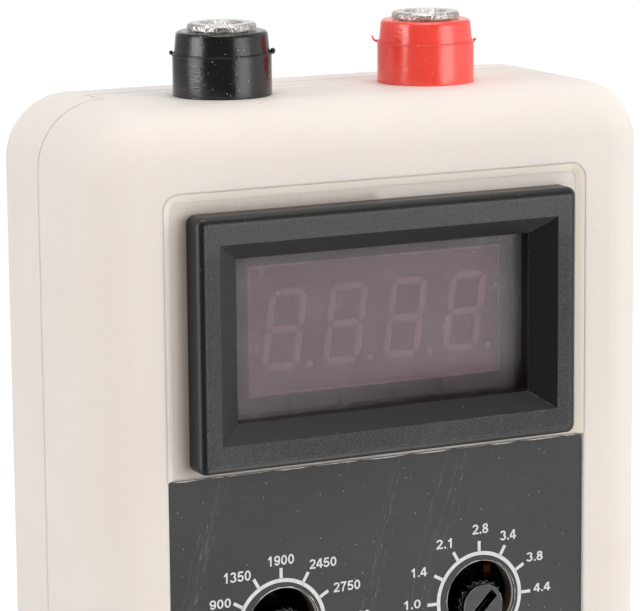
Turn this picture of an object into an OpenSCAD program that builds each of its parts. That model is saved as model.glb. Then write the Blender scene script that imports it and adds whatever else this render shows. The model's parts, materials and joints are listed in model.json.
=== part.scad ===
// Handheld tester for the withstand voltage of semiconductors.
// It stands on its lower end: +Z up, the panel faces -Y, millimetres.
// The origin is the middle of the lower end face.

/* [Housing] */
// Width of the housing
body_w = 71; // [70:0.5:76]
// Height of the housing
body_h = 135; // [134:0.5:145]
// Depth of the housing, front face to back face
body_d = 29.3; // [28:0.1:32]
// Radius of the outline's corners, seen from the front
corner_r = 7.5; // [7:0.5:9]
// Rounding of the edge round the front face
front_edge_r = 5.7; // [4:0.1:6]
// Rounding of the edge round the back face
back_edge_r = 5.2; // [4:0.1:6]
// Wall thickness of both shells
wall = 2; // [1.8:0.1:2.4]
// Depth of the joint between the shells, from the front face
seam_depth = 15.2; // [15:0.1:17]
// Width of the open groove along the joint
seam_gap = 0.1; // [0.1:0.05:0.4]
// Height of the back shell's lip inside the front shell
lip_h = 1.4; // [1:0.1:2]
// Side clearance of the lip
lip_clearance = 0.1; // [0.05:0.05:0.2]
// Width of the front shell's tongue under the sockets
tongue_w = 56.8; // [46:0.2:57]
// Offset of the tongue to the right
tongue_shift = 1; // [0:0.1:1]
// Reach of the tongue past the joint
tongue_reach = 5; // [4:0.1:6]

/* [Front panel] */
// Width of the sunk panel
recess_w = 53.3; // [51:0.1:54]
// Offset of the sunk panel and its dials to the left
panel_shift = 0.26; // [0:0.02:1]
// Margin between the sunk panel and each end of the housing
recess_margin = 9.06; // [8:0.02:10]
// Depth of the sunk panel
recess_depth = 0.6; // [0.5:0.1:1]
// Corner radius of the sunk panel
recess_corner_r = 1.8; // [1:0.1:3]
// Thickness of the label
label_t = 0.25; // [0.15:0.05:0.4]
// Gap between the label and the sunk panel's edges
label_gap = 0.1; // [0.05:0.05:0.3]
// Radius of the label's upper corners
label_corner_r = 0.7; // [0.5:0.1:1.5]
// Distance of the label's upper edge below the top of the housing
label_drop = 41.2; // [41:0.1:43]

/* [Panel meter] */
// Distance of the meter's centre below the top of the housing
meter_drop = 25.9; // [25.5:0.1:26.5]
// Width of the meter's bezel
bezel_w = 48; // [47:0.5:49]
// Height of the meter's bezel
bezel_h = 28.9; // [28:0.1:29.5]
// Height of the bezel's face over the sunk panel
bezel_t = 3.08; // [2.5:0.02:3.5]
// Corner radius of the bezel
bezel_corner_r = 1; // [1:0.1:2]
// Rounding of the bezel's front edge
bezel_edge_r = 0.96; // [0.5:0.02:0.98]
// Width of the window's opening at the filter
window_w = 37.1; // [35:0.1:38]
// Height of the window's opening at the filter
window_h = 18.6; // [17:0.1:19]
// Spread of the window's chamfer to each side
window_flare_x = 2.85; // [2:0.05:3]
// Spread of the window's chamfer upwards and downwards
window_flare_z = 2; // [1:0.05:2.2]
// Depth of the window's chamfer
window_chamfer = 2; // [1:0.1:2.5]
// Distance of the filter behind the bezel's face
filter_drop = 3.6; // [3.3:0.1:4.5]
// Thickness of the filter
filter_t = 1; // [0.8:0.1:1.2]
// Thickness of the meter case's walls
meter_wall = 1.3; // [1:0.1:1.5]
// Clearance of the meter's case in its cut-out
meter_clearance = 0.3; // [0.1:0.05:0.4]
// Width of the four-digit display
display_w = 32.3; // [31:0.1:33]
// Height of the four-digit display
display_h = 15; // [14:0.1:15.5]
// Thickness of the four-digit display
display_t = 7.2; // [6.5:0.1:7.5]
// Gap between the filter and the display
display_gap = 1.9; // [1:0.1:2]
// Offset of the display from the meter's centre
display_x = 1; // [0:0.1:2]
// Height of a digit
digit_h = 9.3; // [8.5:0.1:9.5]
// Width of a digit
digit_w = 4.7; // [4.4:0.1:5]
// Distance from digit to digit
digit_pitch = 7.7; // [7.3:0.1:7.8]
// Width of a digit's segment
segment_w = 0.8; // [0.7:0.05:1.1]
// Lean of the digits in degrees
digit_lean = 8; // [5:1:10]

/* [Dials] */
// Distance of the dials below the top of the housing
dial_drop = 59.45; // [58:0.05:61]
// Distance between the two dials
dial_spacing = 25.6; // [24:0.1:28]
// Radius of a dial's hole
dial_hole_r = 4.4; // [4.4:0.1:4.8]
// Offset to the right of the shafts from their holes, left by assembly
shaft_offset_x = 0.34; // [0:0.02:0.4]
// Offset downwards of the shafts from their holes, left by assembly
shaft_offset_z = 1.05; // [0:0.05:1.05]
// Radius of a potentiometer's shaft
shaft_r = 3; // [2.9:0.05:3.1]
// Number of teeth of the shaft's knurl
knurl_teeth = 20; // [12:1:24]
// Length of the knurl
knurl_l = 1.6; // [1.2:0.1:3]
// Depth of the knurl's grooves
knurl_depth = 0.35; // [0.2:0.05:0.5]
// Radius of the shaft's plain tip
shaft_tip_r = 2.55; // [2.3:0.05:2.6]
// Height of the shaft's plain tip
shaft_tip_h = 0.7; // [0.4:0.1:1]
// Distance of the shaft's tip behind the sunk panel's floor, below 0 in front of it
shaft_drop = -0.2; // [-0.2:0.1:1]
// Length of the screwdriver slot
slot_l = 4.2; // [3.5:0.1:4.4]
// Width of the screwdriver slot
slot_w = 1.2; // [0.8:0.1:1.3]
// Depth of the screwdriver slot
slot_d = 1.2; // [0.8:0.1:1.5]
// Running clearance of a shaft in its collar
shaft_clearance = 0.05; // [0.02:0.01:0.08]
// Width of a potentiometer
pot_w = 9.8; // [9.5:0.1:10.2]
// Height of a potentiometer along the panel
pot_h = 11.3; // [11:0.1:12]
// Thickness of a potentiometer's cover
pot_cover_t = 3; // [2.8:0.1:3.2]
// Thickness of a potentiometer's base
pot_base_t = 3.8; // [3.5:0.1:4]

/* [Test sockets] */
// Distance between the sockets
socket_spacing = 26.1; // [25:0.1:27]
// Offset of the pair of sockets to the left
socket_shift = 0.75; // [0:0.05:1]
// Depth of the sockets behind the front face
socket_depth = 12.8; // [12.5:0.1:13.5]
// Radius of a socket's lower band
socket_r = 5.65; // [5.4:0.05:5.8]
// Height of a socket's lower band
socket_band_h = 4.75; // [4:0.05:5]
// Height of a socket's plastic over the housing
socket_h = 7.3; // [6.5:0.1:7.5]
// Step between the lower and the upper band
socket_step = 0.2; // [0.1:0.05:0.3]
// Taper of the upper band
socket_taper = 0.2; // [0:0.05:0.3]
// Rounding of a socket's shoulder
socket_edge_r = 0.5; // [0.4:0.1:1]
// Radius of a socket's threaded shank
shank_r = 3.9; // [3.8:0.1:4.1]
// Length of a socket's shank under the housing's top
shank_l = 9; // [8:0.1:9.2]
// Radius of the plug's hole
plug_hole_r = 2.05; // [2:0.01:2.1]
// Depth of the plug's hole below its countersink
plug_hole_l = 17.9; // [16:0.1:18]
// Outer radius of the contact tube
contact_r = 3; // [2.8:0.1:3.1]
// Radius of the contact's ring
ring_r = 3.95; // [3.7:0.05:4.2]
// Thickness of the contact's ring
ring_t = 0.7; // [0.6:0.05:1.2]
// Dark gap under the contact's ring
ring_gap = 0.2; // [0.2:0.1:0.5]

/* [Test button] */
// Distance of the test button and the power switch below the top of the housing
switch_drop = 90; // [89:0.5:90]
// Radius of the test button's cap
cap_r = 4.3; // [4:0.1:4.4]
// Height of the cap over the button's flange
cap_h = 3; // [2.5:0.1:3.5]
// Travel of the test button
cap_travel = 2; // [1.5:0.1:2.2]
// Radius of the button's barrel
barrel_r = 6; // [5.9:0.1:6.2]
// Radius of the button's flange
flange_r = 7.2; // [6.8:0.1:7.5]

/* [Power switch] */
// Width of the switch's frame
switch_w = 10.6; // [10:0.1:11]
// Height of the switch's frame
switch_h = 15.2; // [14.8:0.1:16]
// Thickness of both controls' flanges
control_flange_t = 2; // [1.8:0.1:2.2]
// Width of the rocker
rocker_w = 6.8; // [6.4:0.1:6.8]
// Height of the rocker
rocker_h = 10; // [9.6:0.1:10]
// Tilt of the rocker to each side in degrees
rocker_tilt = 9; // [7:1:10]

/* [Boards and battery] */
// Thickness of the circuit boards
board_t = 1.6; // [1.2:0.2:1.6]
// Gap between the main board and the housing's side walls
board_side_gap = 2.5; // [1.5:0.1:3]
// Height of the main board
board_h = 36; // [35:0.5:37]
// Distance of the main board's face behind the front face
board_depth = 16.1; // [15.8:0.1:16.4]
// Width of the battery
battery_w = 50; // [44:0.5:52]
// Height of the battery
battery_h = 34; // [30:0.5:34]
// Thickness of the battery
battery_t = 9.8; // [8:0.1:9.8]
// Thickness of the battery's adhesive tape
tape_t = 0.3; // [0.2:0.1:0.3]
// Width of the charging board
charger_w = 17; // [16:0.5:18]
// Height of the charging board
charger_h = 26; // [24:0.5:28]
// Distance of the charging board's face behind the front face
charger_depth = 7; // [6.5:0.1:7.5]

/* [Screws] */
// Radius of the screws' threads
screw_r = 1.25; // [1.2:0.05:1.4]
// Radius of the screws' heads
screw_head_r = 2.4; // [2.2:0.1:2.6]
// Height of the screws' heads
screw_head_h = 1.6; // [1.4:0.1:1.8]
// Clearance round the screws where they pass through
screw_clearance = 0.3; // [0.2:0.05:0.4]
// Radius of the housing's screw posts
post_r = 3.2; // [3.1:0.1:3.4]
// Distance of the housing's screws from its sides
post_inset = 7.5; // [7.2:0.1:8]
// Radius of the board's posts
board_post_r = 2.6; // [2.4:0.1:2.8]

/* [Hidden] */
$fn = 64;

ivory = "#eee6df";
black = "#232223";
red = "#e8503f";
nickel = "#c9c6bf";
steel = "#b5b7ba";
board_green = "#27613a";

top_z = body_h;
meter_z = body_h - meter_drop;
dial_z = body_h - dial_drop;
label_top_z = body_h - label_drop;
controls_z = body_h - switch_drop;
dial_left = -dial_spacing / 2;
dial_right = dial_spacing / 2;
shaft_z = dial_z - shaft_offset_z;
button_x = dial_left;
switch_x = dial_right;
socket_left = -socket_spacing / 2 - socket_shift;
socket_right = socket_spacing / 2 - socket_shift;
socket_y = depth(socket_depth);

recess_h = body_h - 2 * recess_margin;
floor_depth = recess_depth + wall;
label_depth = recess_depth - label_t;
post_x = body_w / 2 - post_inset;
post_low_z = post_inset;
post_high_z = body_h - post_inset;
post_split = seam_depth - lip_h;
panel_pad = 1.2;
fit_gap = 0.1;
thread_gap = 0.05;
cut = 1;

board_w = body_w - 2 * (wall + board_side_gap);
board_shift = 1.5;
board_z = shaft_z + board_shift;
board_back = board_depth + board_t;
board_post_inset = 3.5;
board_post_x = board_w / 2 - board_post_inset;
board_post_dz = board_h / 2 - board_post_inset;
part_gap = 0.4;
lead_r = 0.35;
charger_low_z = 3.2;
charger_z = charger_low_z + charger_h / 2;
charger_back = charger_depth + board_t;
charger_post_inset = 3;
charger_post_x = charger_w / 2 - charger_post_inset;
charger_post_low_z = charger_z - 2;
charger_post_high_z = charger_z + charger_h / 2 - charger_post_inset;
charger_post_r = 1.8;
charger_pin_r = 1;
charger_pin_rise = 0.5;
port_w = 7.5;
port_h = 5.6;
port_t = 2.6;
port_gap = 0.5;
port_low_z = 1.4;
port_depth = charger_back + port_t / 2;
screw_sink = 3;
screw_grip = 6.5;
pilot_l = screw_grip + 1.5;
screw_head_back = body_d - screw_sink;
screw_seat = screw_head_back - screw_head_h;
bezel_lip_x = 1.5;
bezel_lip_z = 1.35;
meter_case_w = bezel_w - 2 * bezel_lip_x;
meter_case_h = bezel_h - 2 * bezel_lip_z;
case_rim = 0.6;
inner_gap = 0.2;
bezel_face = recess_depth - bezel_t;
filter_depth = bezel_face + filter_drop;
display_depth = filter_depth + filter_t + display_gap;
meter_board_depth = display_depth + display_t;
meter_board_back = meter_board_depth + board_t;
meter_case_end = meter_board_back + case_rim;
meter_inner_w = meter_case_w - 2 * meter_wall;
meter_inner_h = meter_case_h - 2 * meter_wall;
segment_depth = 0.4;
countersink = 0.5;
ring_edge = 0.25;
contact_bottom_t = 1;
flash_t = 0.15;
flash_r = 0.1;
ring_low = socket_h + ring_gap;
ring_top = ring_low + ring_t;
pot_base_depth = board_depth - pot_base_t;
pot_cover_depth = pot_base_depth - pot_cover_t;
collar_r = 3.5;
collar_l = 1.5;
rotor_r = 4.1;
rotor_t = 1;
rotor_gap = 0.3;
rotor_depth = pot_base_depth - rotor_t - fit_gap;
left_pot_x = dial_left + shaft_offset_x;
right_pot_x = dial_right + shaft_offset_x;
transformer_x = (left_pot_x + right_pot_x) / 2;
transformer_drop = 3;
transformer_z = shaft_z - transformer_drop;
board_left_x = (left_pot_x - pot_w / 2 - board_w / 2) / 2;
board_right_x = (right_pot_x + pot_w / 2 + board_w / 2) / 2;
transistor_h = 6.1;
transistor_pin_l = 2.2;
tab_h = 1.1;
tab_z = board_z + board_post_dz - board_post_r - part_gap - tab_h / 2;
transistor_low_z = tab_z - tab_h / 2 - transistor_h;
core_w = 13.2;
core_h = 12.8;
core_t = 6;
core_rise = 3;
leg_w = 2.6;
centre_leg_w = 3.6;
core_window = (core_w - centre_leg_w) / 2 - leg_w;
core_depth = board_depth - core_rise - core_t;
core_mid = core_depth + core_t / 2;
coil_gap = 0.15;
spool_wall = 0.9;
spool_w = centre_leg_w + 2 * spool_wall;
spool_t = core_t + 2 * spool_wall;
spool_h = core_h - 2 * leg_w - 2 * coil_gap;
spool_flange_w = centre_leg_w + 2 * (core_window - coil_gap);
spool_rise = 2.2;
spool_flange_t = core_t + 2 * spool_rise;
spool_flange_h = 0.8;
barrel_l = 12;
barrel_end = label_depth + barrel_l;
control_face = label_depth - control_flange_t;
cap_gap = 0.1;
cavity_gap = 0.8;
cavity_r = cap_r + cavity_gap;
lip_t = 0.2;
lip_depth = label_depth + lip_t;
cap_play = 0.15;
collar_depth = lip_depth + cap_play;
collar_t = 1.5;
stem_r = 1.5;
stem_l = 3;
cavity_end = collar_depth + collar_t + stem_l + cap_travel + part_gap;
terminal_t = 0.6;
terminal_l = 2.75;
terminal_end = barrel_end + terminal_l;
spring_r = 2.4;
spring_wire_r = 0.25;
spring_turns = 5;
spring_gap = 0.05;
spring_low = cavity_end - spring_gap;
spring_high = collar_depth + collar_t + spring_gap;
switch_lip = 1;
switch_case_w = switch_w - 2 * switch_lip;
switch_case_h = switch_h - 2 * switch_lip;
rocker_gap = 0.2;
rocker_crest = 3.2;
pivot_drop = 2.95;
rocker_pivot = control_face + pivot_drop;
pivot_r = 0.8;
pivot_l = 0.6;
battery_gap = 0.8;
battery_corner_r = 2.2;
battery_edge_r = 1.8;
tape_inset = 4;
battery_z = post_low_z + post_r + battery_gap + battery_h / 2;
battery_depth = body_d - wall - tape_t - battery_t;

// Y of a plane that lies d behind the front face
function depth(d) = d - body_d / 2;

// The plate that a flat figure, drawn as seen from the front, makes between two depths
module layer(from, to) {
    translate([0, depth(to), 0])
        rotate([90, 0, 0])
            linear_extrude(to - from)
                children();
}

module block(x, z, w, h, from, to) {
    layer(from, to)
        translate([x, z])
            square([w, h], center = true);
}

module rod(x, z, r, from, to) {
    translate([x, depth(to), z])
        rotate([90, 0, 0])
            cylinder(r = r, h = to - from);
}

module rounded_rect(w, h, r) {
    square([w - 2 * r, h], center = true);
    square([w, h - 2 * r], center = true);
    for (sx = [-1, 1], sy = [-1, 1])
        translate([sx * (w / 2 - r), sy * (h / 2 - r)])
            circle(r);
}

module outer_corner(r) {
    difference() {
        square(r + cut);
        circle(r);
    }
}

// Section through a case's side: thickness upwards, front edge at the top
module side_profile(corner, t, front_r, back_r) {
    difference() {
        square([corner, t]);
        translate([corner - front_r, t - front_r])
            outer_corner(front_r);
        if (back_r > 0)
            translate([corner - back_r, back_r])
                mirror([0, 1])
                    outer_corner(back_r);
    }
}

// A case with rounded corners and rounded edges, swept from its side's section
module rounded_case(w, h, t, corner, front_r, back_r = 0) {
    flat_w = w - 2 * corner;
    flat_h = h - 2 * corner;
    translate([-flat_w / 2, -flat_h / 2, 0])
        cube([flat_w, flat_h, t]);
    for (turn = [0, 180])
        rotate(turn) {
            translate([flat_w / 2, flat_h / 2, 0])
                rotate([90, 0, 0])
                    linear_extrude(flat_h)
                        side_profile(corner, t, front_r, back_r);
            translate([-flat_w / 2, flat_h / 2, 0])
                rotate([90, 0, 90])
                    linear_extrude(flat_w)
                        side_profile(corner, t, front_r, back_r);
            translate([flat_w / 2, flat_h / 2, 0])
                rotate_extrude(angle = 90)
                    side_profile(corner, t, front_r, back_r);
            translate([-flat_w / 2, flat_h / 2, 0])
                rotate(90)
                    rotate_extrude(angle = 90)
                        side_profile(corner, t, front_r, back_r);
        }
}

// The housing's outer form, or the same form drawn in by an inset
module body_form(inset = 0) {
    translate([0, depth(body_d - inset), body_h / 2])
        rotate([90, 0, 0])
            rounded_case(body_w - 2 * inset, body_h - 2 * inset, body_d - 2 * inset,
                corner_r - inset, front_edge_r - inset, back_edge_r - inset);
}

// The housing's outline, drawn in by an inset, between two depths
module body_plan(inset, from, to) {
    layer(from, to)
        translate([0, body_h / 2])
            rounded_rect(body_w - 2 * inset, body_h - 2 * inset, corner_r - inset);
}

// The sunk panel's outline, widened or drawn in by a margin
module panel_outline(margin = 0) {
    translate([-panel_shift, body_h / 2])
        rounded_rect(recess_w + 2 * margin, recess_h + 2 * margin, recess_corner_r + max(margin, 0));
}

// The part of the top end that belongs to the front shell behind the joint
module tongue_zone(gap = 0) {
    block(tongue_shift, top_z, tongue_w + 2 * gap, 2 * (wall + cut), 0, seam_depth + tongue_reach + gap);
}

module at_posts() {
    for (x = [-post_x, post_x], z = [post_low_z, post_high_z])
        translate([x, 0, z])
            children();
}

module at_board_posts() {
    for (x = [-board_post_x, board_post_x], z = [board_z - board_post_dz, board_z + board_post_dz])
        translate([x, 0, z])
            children();
}

module at_charger_posts() {
    for (x = [-charger_post_x, charger_post_x], z = [charger_post_low_z, charger_post_high_z])
        translate([x, 0, z])
            children();
}

module front_shell() {
    color(ivory)
        difference() {
            union() {
                difference() {
                    intersection() {
                        body_form();
                        union() {
                            block(0, body_h / 2, 2 * body_w, 2 * body_h, -cut, seam_depth);
                            tongue_zone();
                        }
                    }
                    body_form(wall);
                    difference() {
                        body_plan(wall / 2, seam_depth - lip_h - fit_gap, seam_depth + cut);
                        tongue_zone(cut);
                    }
                }
                layer(wall / 2, floor_depth)
                    panel_outline(panel_pad);
                at_posts()
                    rod(0, 0, post_r, wall / 2, post_split);
                at_board_posts()
                    rod(0, 0, board_post_r, wall / 2, board_depth);
                at_charger_posts() {
                    rod(0, 0, charger_post_r, wall / 2, charger_depth);
                    rod(0, 0, charger_pin_r, wall / 2, charger_back + charger_pin_rise);
                }
            }
            layer(-cut, recess_depth)
                panel_outline();
            block(0, meter_z, meter_case_w + 2 * meter_clearance, meter_case_h + 2 * meter_clearance,
                -cut, floor_depth + cut);
            for (x = [dial_left, dial_right])
                rod(x, dial_z, dial_hole_r, -cut, floor_depth + cut);
            rod(button_x, controls_z, barrel_r + fit_gap, -cut, floor_depth + cut);
            block(switch_x, controls_z, switch_case_w + 2 * fit_gap, switch_case_h + 2 * fit_gap,
                -cut, floor_depth + cut);
            for (x = [socket_left, socket_right])
                translate([x, socket_y, top_z - wall - cut])
                    cylinder(r = shank_r + fit_gap, h = wall + 2 * cut);
            block(0, 0, port_w + 2 * port_gap, 2 * (wall + cut),
                port_depth - port_t / 2 - port_gap, port_depth + port_t / 2 + port_gap);
            at_posts()
                rod(0, 0, screw_r + thread_gap, post_split - pilot_l, post_split + cut);
            at_board_posts()
                rod(0, 0, screw_r + thread_gap, board_depth - pilot_l, board_depth + cut);
        }
}

module back_shell() {
    color(ivory)
        difference() {
            union() {
                difference() {
                    union() {
                        intersection() {
                            body_form();
                            block(0, body_h / 2, 2 * body_w, 2 * body_h, seam_depth + seam_gap, body_d + cut);
                        }
                        difference() {
                            body_plan(wall / 2 + lip_clearance, seam_depth - lip_h, seam_depth + lip_h);
                            tongue_zone(cut);
                        }
                    }
                    body_form(wall);
                    tongue_zone(seam_gap);
                }
                at_posts()
                    rod(0, 0, post_r, post_split + fit_gap, body_d - wall / 2);
            }
            at_posts() {
                rod(0, 0, screw_r + screw_clearance, post_split - cut, body_d + cut);
                rod(0, 0, screw_head_r + screw_clearance, screw_seat, body_d + cut);
            }
        }
}

// The label fills the sunk panel up to its own upper edge
module panel_label() {
    color("#535254")
        difference() {
            layer(label_depth, recess_depth)
                intersection() {
                    panel_outline(-label_gap);
                    translate([-panel_shift, label_top_z / 2])
                        rounded_rect(recess_w - 2 * label_gap, label_top_z, label_corner_r);
                }
            for (x = [dial_left, dial_right])
                rod(x, dial_z, dial_hole_r + fit_gap, 0, floor_depth);
            rod(button_x, controls_z, barrel_r + fit_gap, 0, floor_depth);
            block(switch_x, controls_z, switch_case_w + 2 * fit_gap, switch_case_h + 2 * fit_gap,
                0, floor_depth);
        }
}

// Cutter for the window: a straight opening whose mouth flares to all four sides
module window_opening() {
    flare_x = [[-window_w / 2, filter_drop + cut], [-window_w / 2, window_chamfer],
        [-window_w / 2 - window_flare_x, 0], [-window_w / 2 - window_flare_x, -cut],
        [window_w / 2 + window_flare_x, -cut], [window_w / 2 + window_flare_x, 0],
        [window_w / 2, window_chamfer], [window_w / 2, filter_drop + cut]];
    flare_z = [[-window_h / 2, filter_drop + cut], [-window_h / 2, window_chamfer],
        [-window_h / 2 - window_flare_z, 0], [-window_h / 2 - window_flare_z, -cut],
        [window_h / 2 + window_flare_z, -cut], [window_h / 2 + window_flare_z, 0],
        [window_h / 2, window_chamfer], [window_h / 2, filter_drop + cut]];
    translate([0, depth(bezel_face), meter_z])
        intersection() {
            translate([0, 0, -bezel_h / 2])
                linear_extrude(bezel_h)
                    polygon(flare_x);
            translate([-bezel_w / 2, 0, 0])
                rotate([90, 0, 90])
                    linear_extrude(bezel_w)
                        polygon([for (p = flare_z) [p[1], p[0]]]);
        }
}

module meter_bezel() {
    clip_h = 6;
    clip = [[0, 0], [1, 0.1], [1, 0.8], [0, 3.5]];
    color(black)
        difference() {
            union() {
                translate([0, depth(recess_depth), meter_z])
                    rotate([90, 0, 0])
                        rounded_case(bezel_w, bezel_h, bezel_t, bezel_corner_r, bezel_edge_r);
                block(0, meter_z, meter_case_w, meter_case_h, recess_depth - cut, meter_case_end);
                for (side = [0, 1])
                    mirror([side, 0, 0])
                        translate([meter_case_w / 2, depth(floor_depth + fit_gap), meter_z - clip_h / 2])
                            linear_extrude(clip_h)
                                polygon(clip);
            }
            window_opening();
            block(0, meter_z, meter_inner_w, meter_inner_h, filter_depth, meter_case_end + cut);
        }
}

module meter_window() {
    color([0.32, 0.24, 0.27, 0.6])
        block(0, meter_z, meter_inner_w - 2 * inner_gap, meter_inner_h - 2 * inner_gap,
            filter_depth, filter_depth + filter_t);
}

// A segment of a digit: a bar with pointed ends
module segment_bar(l) {
    w = segment_w / 2;
    polygon([[-l / 2, 0], [-l / 2 + w, w], [l / 2 - w, w], [l / 2, 0], [l / 2 - w, -w], [-l / 2 + w, -w]]);
}

// The seven segments and the point of one digit, centred and leaning
module digit_figure() {
    gap = 0.16;
    across = digit_w - segment_w - 2 * gap;
    upright = (digit_h - segment_w) / 2 - 2 * gap;
    rise = (digit_h - segment_w) / 2;
    lean = tan(digit_lean);
    for (k = [-1, 0, 1])
        translate([k * rise * lean, k * rise])
            segment_bar(across);
    multmatrix([[1, lean, 0, 0], [0, 1, 0, 0], [0, 0, 1, 0], [0, 0, 0, 1]])
        for (side = [-1, 1], k = [-1, 1])
            translate([side * (digit_w - segment_w) / 2, k * rise / 2])
                rotate(90)
                    segment_bar(upright);
    translate([digit_w / 2 + segment_w, -digit_h / 2 + segment_w / 2])
        circle(segment_w / 2);
}

module all_digits(from, to) {
    layer(from, to)
        for (i = [0:3])
            translate([display_x + (i - 1.5) * digit_pitch, meter_z])
                digit_figure();
}

module display_body() {
    color("#b9a7a3")
        difference() {
            block(display_x, meter_z, display_w, display_h, display_depth, display_depth + display_t);
            all_digits(display_depth - cut, display_depth + segment_depth);
        }
}

module display_segments() {
    color("#d8c4c0")
        all_digits(display_depth, display_depth + segment_depth);
}

module meter_board() {
    color(board_green)
        block(0, meter_z, meter_inner_w - 2 * inner_gap, meter_inner_h - 2 * inner_gap,
            meter_board_depth, meter_board_back);
}

// The meter's controller, its regulator and the connector of its leads
module meter_parts() {
    chip_w = 9;
    chip_t = 1.4;
    chip_x = -6;
    regulator_w = 5;
    regulator_h = 4;
    regulator_t = 1.6;
    connector_w = 12.5;
    connector_h = 4.5;
    connector_t = 4;
    edge_gap = 2.8;
    edge_x = meter_inner_w / 2 - edge_gap;
    edge_z = meter_inner_h / 2 - edge_gap;
    color(black) {
        block(chip_x, meter_z, chip_w, chip_w, meter_board_back, meter_board_back + chip_t);
        block(edge_x - connector_w / 2, meter_z + edge_z - regulator_h, regulator_w, regulator_h,
            meter_board_back, meter_board_back + regulator_t);
    }
    color("white")
        block(edge_x - connector_w / 2, meter_z - edge_z + connector_h / 2, connector_w, connector_h,
            meter_board_back, meter_board_back + connector_t);
}

// One test socket's plastic: two bands over the housing and a shank through its top
module socket_body(x) {
    upper_r = socket_r - socket_step;
    top_r = upper_r - socket_taper;
    translate([x, socket_y, top_z])
        rotate_extrude()
            difference() {
                union() {
                    square([socket_r, socket_band_h]);
                    polygon([[0, 0], [upper_r, 0], [upper_r, socket_band_h],
                        [top_r, socket_h - socket_edge_r], [top_r, socket_h], [0, socket_h]]);
                    translate([0, -shank_l])
                        square([shank_r, shank_l + cut]);
                    translate([0, socket_band_h - flash_t])
                        square([socket_r + flash_r, flash_t]);
                }
                translate([top_r - socket_edge_r, socket_h - socket_edge_r])
                    outer_corner(socket_edge_r);
                translate([0, -shank_l - cut])
                    square([contact_r + thread_gap, shank_l + socket_h + 2 * cut]);
            }
}

module black_socket_body() {
    color(black)
        socket_body(socket_left);
}

module red_socket_body() {
    color(red)
        socket_body(socket_right);
}

// One socket's metal: a tube with a ring on top and a blind hole for a plug
module socket_contact(x) {
    hole_low = ring_top - countersink - plug_hole_l;
    translate([x, socket_y, top_z])
        rotate_extrude()
            polygon([[0, hole_low - contact_bottom_t], [contact_r, hole_low - contact_bottom_t],
                [contact_r, ring_low], [ring_r, ring_low],
                [ring_r, ring_top - ring_edge], [ring_r - ring_edge, ring_top],
                [plug_hole_r + countersink, ring_top], [plug_hole_r, ring_top - countersink],
                [plug_hole_r, hole_low], [0, hole_low]]);
}

module black_socket_contact() {
    color(nickel)
        socket_contact(socket_left);
}

module red_socket_contact() {
    color(nickel)
        socket_contact(socket_right);
}

module socket_nuts() {
    nut_across = 10;
    nut_t = 2.3;
    color(nickel)
        for (x = [socket_left, socket_right])
            translate([x, socket_y, top_z - wall - fit_gap - nut_t])
                difference() {
                    cylinder(d = nut_across / cos(30), h = nut_t, $fn = 6);
                    translate([0, 0, -cut])
                        cylinder(r = shank_r + thread_gap, h = nut_t + 2 * cut);
                }
}

module socket_lugs() {
    lug_t = 0.5;
    lug_r = 4.6;
    tab_w = 2.8;
    tab_l = 9;
    eye_r = 0.6;
    color(nickel)
        for (x = [socket_left, socket_right])
            translate([x, socket_y, top_z - shank_l - fit_gap - lug_t])
                difference() {
                    union() {
                        cylinder(r = lug_r, h = lug_t);
                        translate([-tab_w / 2, 0, 0])
                            cube([tab_w, tab_l, lug_t]);
                    }
                    translate([0, 0, -cut])
                        cylinder(r = contact_r + thread_gap, h = lug_t + 2 * cut);
                    translate([0, tab_l - tab_w / 2, -cut])
                        cylinder(r = eye_r, h = lug_t + 2 * cut);
                }
}

module main_board() {
    color(board_green)
        difference() {
            block(0, board_z, board_w, board_h, board_depth, board_back);
            at_board_posts()
                rod(0, 0, screw_r + screw_clearance, board_depth - cut, board_back + cut);
        }
}

module pot_base(x) {
    color("#6b4a2c")
        block(x, shaft_z, pot_w, pot_h, pot_base_depth, board_depth);
}

module left_pot_base() {
    pot_base(left_pot_x);
}

module right_pot_base() {
    pot_base(right_pot_x);
}

module pot_cover(x) {
    color(steel)
        difference() {
            union() {
                block(x, shaft_z, pot_w, pot_h, pot_cover_depth, pot_base_depth);
                rod(x, shaft_z, collar_r, pot_cover_depth - collar_l, pot_cover_depth + cut);
            }
            rod(x, shaft_z, shaft_r + shaft_clearance, pot_cover_depth - collar_l - cut, pot_base_depth);
            rod(x, shaft_z, rotor_r + rotor_gap, rotor_depth - fit_gap, pot_base_depth + cut);
        }
}

module left_pot_cover() {
    pot_cover(left_pot_x);
}

module right_pot_cover() {
    pot_cover(right_pot_x);
}

// A shaft as turned: plain tip with a screwdriver slot, knurl, neck, journal and rotor
module pot_shaft(x) {
    tip = recess_depth + shaft_drop;
    knurl_start = tip + shaft_tip_h;
    neck_depth = knurl_start + knurl_l;
    neck_r = 2.3;
    journal_depth = pot_cover_depth - collar_l - part_gap;
    turn = 180 / knurl_teeth;
    color("#77787a")
        difference() {
            union() {
                rod(x, shaft_z, shaft_tip_r, tip, knurl_start + fit_gap);
                layer(knurl_start, neck_depth)
                    translate([x, shaft_z])
                        polygon([for (i = [0:2 * knurl_teeth - 1])
                            (shaft_r - (i % 2) * knurl_depth) * [cos(i * turn), sin(i * turn)]]);
                rod(x, shaft_z, neck_r, neck_depth - fit_gap, journal_depth + fit_gap);
                rod(x, shaft_z, shaft_r, journal_depth, rotor_depth + fit_gap);
                rod(x, shaft_z, rotor_r, rotor_depth, rotor_depth + rotor_t);
            }
            layer(tip - cut, tip + slot_d)
                translate([x, shaft_z])
                    rotate(45)
                        square([slot_l, slot_w], center = true);
        }
}

module left_pot_shaft() {
    pot_shaft(left_pot_x);
}

module right_pot_shaft() {
    pot_shaft(right_pot_x);
}

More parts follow.
